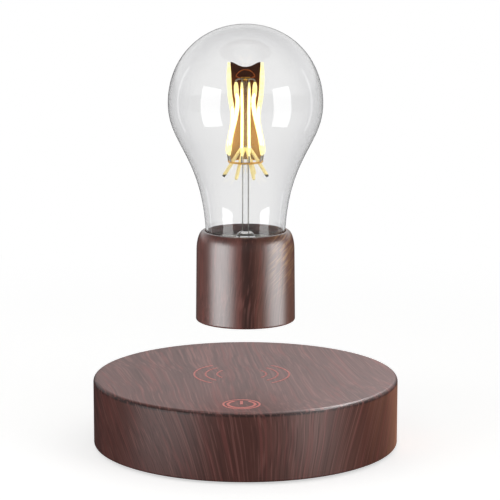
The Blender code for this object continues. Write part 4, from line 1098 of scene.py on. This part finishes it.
def plate_shape():
    top, foot = plate_high.z, plate_low.z
    dip = top - SADDLE_DIP
    first, second = [PLATE_TOP_HALF * share for share in SADDLE_HANDLES]
    right = bezier([(0, dip), (first, dip), (second, top), (PLATE_TOP_HALF, top)], 12)
    side = waist_curve((PLATE_TOP_HALF, 0, top), (PLATE_WAIST_HALF, 0, WAIST_HEIGHT),
                       (PLATE_FOOT_HALF, 0, foot), 14)
    right += [(point[0], point[2]) for point in side[1:]]
    left = [(-x, z) for x, z in reversed(right) if x > 0]
    shape = bmesh.new()
    verts = [shape.verts.new((x, plate_low.y, z)) for x, z in right + left]
    face = shape.faces.new(verts)
    made = bmesh.ops.extrude_face_region(shape, geom=[face])["geom"]
    back = [part for part in made if isinstance(part, bmesh.types.BMVert)]
    bmesh.ops.translate(shape, verts=back, vec=(0, plate_high.y - plate_low.y, 0))
    bmesh.ops.recalc_face_normals(shape, faces=shape.faces)
    window = block((-WINDOW_HALF, plate_low.y - PAST, WINDOW_LOW),
                   (WINDOW_HALF, plate_high.y + PAST, WINDOW_TOP))
    return combine(shape, window, "DIFFERENCE")


finish_piece("bronze_plate", plate_shape(), "floating_bulb", bronze_sheet, ["filament_plate"])

# %% [markdown]
# A filament here is a row of tiny light-emitting chips on a strip, inside a coat of yellow phosphor
# silicone. Lit, the row is nearly white and the coat round it glows yellow, so the light really comes
# from two nested pieces: a bright core, and a coat that is half clear. Bare metal leads hold both ends.

# %% Filament finishes
CHIP_SPACING = 1.2 * MM
# The tones change along the strip, so their noise is wide across it
CHIP_TONES = (5 * MM, 5 * MM, CHIP_SPACING)


def glowing(name, body, low_tone, high_tone, strength, share=1.0):
    """Light in two tones, chip by chip along the strip, with a given share of it opaque."""
    material, tree, place = new_material(name)
    steps = add(tree, "MapRange", [noise_at(tree, place, CHIP_TONES), *NOISE_MIDDLE])
    colour = add(tree, "Mix", [steps, low_tone, high_tone], data_type="RGBA")
    return surface(material, body, 0.5, others={
        "Emission Color": colour, "Emission Strength": strength, "Alpha": share})


lit_core = glowing("lit_chip_strip", "#d8c890", "#fff2d0", "#fff8e4", 3.2)
lit_coat = glowing("phosphor_silicone_coat", "#806a30", "#ffea90", "#fff3ac", 1.65, 0.55)

# %% [markdown]
# Eight filaments stand in four mirrored pairs, so each pair is one row of a table, and a loop makes
# both sides. A strip follows a curve from its top through a slim waist to its foot, upright at all
# three. A bare lead joins each foot to the ring, and a lead bends over from the hub to most tops. A
# curve with a bevel could make them, but a circle carried along the path can shrink at both ends.

# %% Filaments
FILAMENT_RADIUS = 0.9 * MM
THIN_FILAMENT_RADIUS = 0.6 * MM
CORE_SHARE = 0.68
# Shares of the radius where the coat and the core are drawn in, from an end inwards
COAT_ENDS = (0.55, 0.95)
CORE_TOP = (0.3, 0.7)
CORE_FOOT = (0.6,)
FILAMENT_LEAD_RADIUS = 0.3 * MM
FILAMENT_END = 0.3 * MM
FILAMENT_BEND = 0.7 * MM
LEAD_ROOT = 0.9 * HUB_RADIUS
LEAD_CORNER = 0.2 * MM
OUTER_RISE = 6.1 * MM
FOOT_RISE = 2.2 * MM
RING_SEAT = ring_high.z + 0.3 * MM
COAT_ALONE_BELOW = 2
# Each pair: name, radius, how far its tops stand over the hub (None: a lead bends over from it), along
# how many steps at the top only the coat shows, and where the right one's top, waist and foot stand, in
# mm to the right, to the back and above its usual height
PAIRS = (
    ("filament", FILAMENT_RADIUS, OUTER_RISE, 8, (6.4, 0, 0), (4.9, 0, -3.0), (6.9, 0, 0)),
    ("filament_front", FILAMENT_RADIUS, None, 4, (3.6, -4.2, 0), (3.0, -4.0, 4.0), (6.3, -3.8, 0)),
    ("filament_front_middle", THIN_FILAMENT_RADIUS, None, 1, (1.4, -5.2, 0), (1.3, -5.2, 0),
     (1.4, -6.2, 0)),
    ("filament_back", FILAMENT_RADIUS, None, 4, (3.9, 4.4, 0), (4.0, 4.2, 0), (6.3, 3.8, 0)),
)


def drawn_in(radius, count, first, last):
    """One radius for each of so many points, drawn in by shares at the first and the last ones."""
    shares = [*first] + [1] * (count - len(first) - len(last)) + [*last]
    return [radius * share for share in shares]


def make_filament(name, radius, rise, coat_alone, top, waist, foot):
    top, waist, foot = [Vector(place) * MM for place in (top, waist, foot)]
    outward, away = foot.normalized(), top.normalized()
    seat = outward * RING_RADIUS + Vector((0, 0, RING_HEIGHT))
    foot += Vector((0, 0, RING_SEAT + FOOT_RISE))
    waist += Vector((0, 0, WAIST_HEIGHT))
    top += Vector((0, 0, HUB_HEIGHT))
    leads = [sweep([foot, foot.lerp(seat, 0.5), seat], FILAMENT_LEAD_RADIUS, 12)]
    if rise is None:
        corner = top
        top = corner - Vector((0, 0, FILAMENT_BEND + FILAMENT_END))
        start = away * LEAD_ROOT + Vector((0, 0, HUB_HEIGHT))
        over_hub = bezier([start, corner - away * LEAD_CORNER, corner, top], 12)
        leads.append(sweep(over_hub, FILAMENT_LEAD_RADIUS, 12))
    else:
        top += Vector((0, 0, rise))
    path = waist_curve(top, waist, foot, 12)
    coat = sweep(path, drawn_in(radius, len(path), COAT_ENDS, COAT_ENDS[::-1]), 24)
    finish_piece(name + "_coat", coat, "floating_bulb", lit_coat, [name])
    inner = path[coat_alone:-COAT_ALONE_BELOW]
    core = sweep(inner, drawn_in(radius * CORE_SHARE, len(inner), CORE_TOP, CORE_FOOT), 16)
    finish_piece(name + "_core", core, "floating_bulb", lit_core)
    finish_piece(name + "_leads", gather(leads), "floating_bulb", nickel_wire)


for name, radius, rise, coat_alone, *spots in PAIRS:
    for side, sign in (("left", -1), ("right", 1)):
        make_filament(f"{name}_{side}", radius, rise, coat_alone, *[(sign * x, y, z) for x, y, z in spots])

# %% [markdown]
# The studio is a pale paper sheet on the ground, with soft lamps round the lamp and above it. The
# paper keeps the lamp's soft shadow and fades to pure white away from it. The surroundings are white
# where the camera looks at them, also through the glass, and a plain grey for the light that they give.

# %% Floor
FLOOR_RADIUS = 0.9
# How far from the lamp the paper begins to turn white, and from where it is white
FADE = (0.16, 0.42)
# A glow of its own keeps the paper pale under the lamp
PAPER_LIFT = 0.56
# Real fibres are much finer than a millimetre, and drawn coarser here
FIBRE_SIZE = 1 * MM


def paper_material():
    material, tree, place = new_material("white_paper_sheet")
    path = add(tree, "LightPath")
    seen = add(tree, "Math", [path.outputs["Is Camera Ray"], path.outputs["Is Transmission Ray"]],
               operation="MAXIMUM")
    seen = add(tree, "Math", [seen, path.outputs["Is Glossy Ray"]], operation="MAXIMUM")
    distance = add(tree, "VectorMath", [place], operation="LENGTH")
    away = add(tree, "MapRange", [distance, *FADE], **SMOOTH)
    far = add(tree, "Math", [away, seen], operation="MULTIPLY")
    lift = add(tree, "Math", [seen, PAPER_LIFT], operation="MULTIPLY")
    shade = add(tree, "Mix", [noise_at(tree, place, FIBRE_SIZE, 2.0), "#e8e8e7", "#eaeae9"],
                data_type="RGBA")
    paper = add(tree, "BsdfDiffuse", {"Color": shade})
    glow = add(tree, "Emission", {"Color": "#ffffff", "Strength": lift})
    near = add(tree, "AddShader", [paper, glow])
    white = add(tree, "Emission", {"Color": "#ffffff", "Strength": 1.0})
    add(tree, "OutputMaterial", {"Surface": add(tree, "MixShader", [far, near, white])})
    return material


paper = bmesh.new()
bmesh.ops.create_circle(paper, cap_ends=True, radius=FLOOR_RADIUS, segments=96)
floor = as_object("paper_floor", paper)
floor.data.materials.append(paper_material())
# The side lamps reach below the floor's level, so that upright walls show them down to their foot
floor.visible_glossy = False
floor.visible_shadow = False
print(f"paper floor: {2 * FLOOR_RADIUS:.1f} m wide")

# %% [markdown]
# The lamps are soft boxes. A real soft box is brightest in its middle and fades towards its edges,
# which keeps its mirror image soft on the film, so a box may be given such a fade. A real studio keeps
# a box's light off some things with black flags. Light linking does that here: each box lights only
# some pieces, or all but some.

# %% Soft boxes
def fade_out(light, fade):
    """Let a box's light fade towards its left and right edge, over this share of its width."""
    light.use_nodes = True
    tree = light.node_tree
    tree.nodes.clear()
    spot = add(tree, "SeparateXYZ", [add(tree, "NewGeometry").outputs["Parametric"]])
    aside = add(tree, "Math", [spot.outputs["X"], 0.5], operation="SUBTRACT")
    aside = add(tree, "Math", [aside], operation="ABSOLUTE")
    share = add(tree, "MapRange", [aside, 0.5, 0.5 - fade], **SMOOTH)
    add(tree, "OutputLight", {"Surface": add(tree, "Emission", {"Strength": share})})


def group_of(name, pieces, state="INCLUDE"):
    """A collection for light linking that names these pieces, or all but these."""
    group = bpy.data.collections.new(name)
    for piece in pieces:
        group.objects.link(piece)
    for entry in group.collection_objects:
        entry.light_linking.link_state = state
    return group


def soft_box(name, place, aim, size, radiance, fade, pieces, state="INCLUDE"):
    """A soft box that faces the axis at a height, and lights these pieces, or all but these.

    Radiance is how bright its surface looks, 1 being white.
    """
    light = bpy.data.lights.new(name, "AREA")
    light.shape = "RECTANGLE"
    light.size, light.size_y = size
    light.energy = radiance * math.pi * size[0] * size[1]
    if fade:
        fade_out(light, fade)
    item = bpy.data.objects.new(name, light)
    bpy.context.scene.collection.objects.link(item)
    item.location = place
    item.rotation_mode = "QUATERNION"
    item.rotation_quaternion = (Vector((0, 0, aim)) - Vector(place)).to_track_quat("-Z", "Y")
    item.visible_camera = False
    item.visible_transmission = False
    item.light_linking.receiver_collection = group_of(name + "_pieces", pieces, state)
    print(f"{name}: {light.energy:.2f} W")
    return item

# %% [markdown]
# The picture shows the bulb, the cap and the base each with its own highlights, so each has its own
# pair of boxes at the left and the right, on one circle. Two narrow strips draw the bulb's edges.

# %% Lamps at the sides
BOX_DISTANCE = 0.6
# The heights of the boxes' middles
BOX_MIDDLE, GLASS_BOX_MIDDLE, STRIP_MIDDLE = 0.055, 0.08, 0.12
cap_pieces = [cap_housing, cap_floor]
glass_pieces = [bulb, glass_mount]
# Each side box: name, degrees from the front to the right, middle height, width, height, radiance,
# fade, pieces, and whether it lights them alone or all but them
SIDE_BOXES = (
    ("left_box", -58, BOX_MIDDLE, 0.72, 0.49, 2.8, 0.25, cap_pieces + glass_pieces, "EXCLUDE"),
    ("right_box", 50, BOX_MIDDLE, 0.46, 0.49, 3.4, 0.25, cap_pieces + glass_pieces, "EXCLUDE"),
    ("left_glass_box", -52, GLASS_BOX_MIDDLE, 0.34, 0.58, 5.0, 0.0, glass_pieces, "INCLUDE"),
    ("right_glass_box", 55.4, GLASS_BOX_MIDDLE, 0.306, 0.58, 5.0, 0.0, glass_pieces, "INCLUDE"),
    ("left_edge_strip", -117, STRIP_MIDDLE, 0.08, 0.6, 1.2, 0.3, glass_pieces, "INCLUDE"),
    ("right_edge_strip", 113, STRIP_MIDDLE, 0.08, 0.6, 1.2, 0.3, glass_pieces, "INCLUDE"),
    ("left_cap_box", -58, BOX_MIDDLE, 1.0, 0.49, 5.8, 0.45, cap_pieces, "INCLUDE"),
    ("right_cap_box", 75, BOX_MIDDLE, 0.90, 0.49, 5.2, 0.45, cap_pieces, "INCLUDE"),
)
for name, to_right, middle, width, height, radiance, fade, pieces, state in SIDE_BOXES:
    spot = on_circle(BOX_DISTANCE, to_right - 90, middle)
    soft_box(name, spot, middle, (width, height), radiance, fade, pieces, state)

# %% [markdown]
# Overhead, one box lights the base's flat top and one the bulb's crown. A narrow one behind at the
# right has its mirror image along the base's rounded rim.

# %% Lamps above
base_pieces = [base_housing, power_marks, touch_mark]
# Each box above: name, place, the height that it faces, size, radiance, fade and pieces
BOXES_ABOVE = (
    ("top_box", (0, 0, 0.8), 0, (0.7, 0.7), 1.35, 0.0, base_pieces),
    ("crown_box", (0, -0.1, 0.75), 0.15, (0.5, 0.4), 1.1, 0.5, glass_pieces),
    ("rim_box", on_circle(0.4, 23, 0.53), base_high.z, (1.0, 0.07), 36.0, 0.0, [base_housing]),
)
for name, place, aim, size, radiance, fade, pieces in BOXES_ABOVE:
    lamp = soft_box(name, place, aim, size, radiance, fade, pieces)
    if base_housing in pieces:
        # The floating part's shadow would darken the middle of the base, where its marks are
        lamp.light_linking.blocker_collection = group_of(name + "_blockers", [base_housing])

# %% [markdown]
# The world outside is pure white where the camera looks at it, also through the glass. For the light
# that it gives it is a plain grey. Mirrored in the lacquer it is a dim room with a bright wall low
# behind the lamp, so the base's top, seen at a low angle, gets its pale sheen and its side stays dark.
# Light that was mirrored inside the glass sees a room that is bright at the back and dim in front.

# %% World
ROOM_LIGHT = 0.45
ROOM_DARK = 0.04
# How far to the back or upwards a direction points where a wall starts and where it is full, and how
# bright the wall is there
WALL_TO_BACK = (-0.1, 0.9, 0.12, 0.75)
WALL_FOOT = (0.03, 0.18, 0.0, 1.0)
WALL_TOP = (0.7, 0.35, 0.1, 1.0)
WALL_IN_GLASS = (-0.2, 0.5, 0.1, 1.0)


def studio_world():
    world = bpy.data.worlds.new("studio")
    bpy.context.scene.world = world
    world.use_nodes = True
    tree = world.node_tree
    tree.nodes.clear()
    path = add(tree, "LightPath")
    through = path.outputs["Is Transmission Ray"]
    _, y, z = add(tree, "SeparateXYZ", [add(tree, "TexCoord").outputs["Generated"]]).outputs
    wall = add(tree, "MapRange", [y, *WALL_TO_BACK], **SMOOTH)
    above = add(tree, "MapRange", [z, *WALL_FOOT], **SMOOTH)
    below = add(tree, "MapRange", [z, *WALL_TOP], **SMOOTH)
    low_wall = add(tree, "Math", [above, below], operation="MULTIPLY")
    mirrored = add(tree, "Math", [wall, low_wall, ROOM_DARK], operation="MULTIPLY_ADD")
    # Whether a ray was mirrored on its way, which also happens inside the glass
    mirror = add(tree, "Math", [path.outputs["Glossy Depth"], path.outputs["Is Diffuse Ray"]],
                 operation="SUBTRACT", use_clamp=True)
    in_glass = add(tree, "Math", [through, mirror], operation="MULTIPLY")
    behind = add(tree, "MapRange", [y, *WALL_IN_GLASS], **SMOOTH)
    straight = add(tree, "Math", [through, mirror], operation="SUBTRACT", use_clamp=True)
    seen = add(tree, "Math", [path.outputs["Is Camera Ray"], straight], operation="MAXIMUM")
    strength = add(tree, "Mix", [mirror, ROOM_LIGHT, mirrored])
    strength = add(tree, "Mix", [in_glass, strength, behind])
    strength = add(tree, "Mix", [seen, strength, 1.0])
    room = add(tree, "Background", {"Color": "#ffffff", "Strength": strength})
    add(tree, "OutputWorld", {"Surface": room})
    print("world:", world.name)


studio_world()

# %% [markdown]
# The camera looks slightly down on the lamp from a little under a metre, through a long lens, as
# product pictures are taken. A small shift sets the lamp a touch left of the middle of the picture.

# %% Camera
CAMERA_DISTANCE = 0.85
CAMERA_ELEVATION = math.radians(10.38)
TARGET_HEIGHT = 0.07765
FOCAL_PIXELS = 2174
PICTURE_SIZE = 500
SENSOR_WIDTH = 36
AXIS_PIXEL = 245.5

camera_data = bpy.data.cameras.new("camera")
camera_data.sensor_width = SENSOR_WIDTH
camera_data.lens = FOCAL_PIXELS * SENSOR_WIDTH / PICTURE_SIZE
camera_data.shift_x = (PICTURE_SIZE / 2 - AXIS_PIXEL) / PICTURE_SIZE
camera = bpy.data.objects.new("camera", camera_data)
bpy.context.scene.collection.objects.link(camera)
target = Vector((0, 0, TARGET_HEIGHT))
camera.location = target + Vector((0, -CAMERA_DISTANCE * math.cos(CAMERA_ELEVATION),
                                   CAMERA_DISTANCE * math.sin(CAMERA_ELEVATION)))
camera.rotation_euler = (math.pi / 2 - CAMERA_ELEVATION, 0, 0)
bpy.context.scene.camera = camera
bpy.context.scene.view_settings.view_transform = "Standard"
print(f"camera: {camera_data.lens:.0f} mm lens, {CAMERA_DISTANCE:.2f} m away")
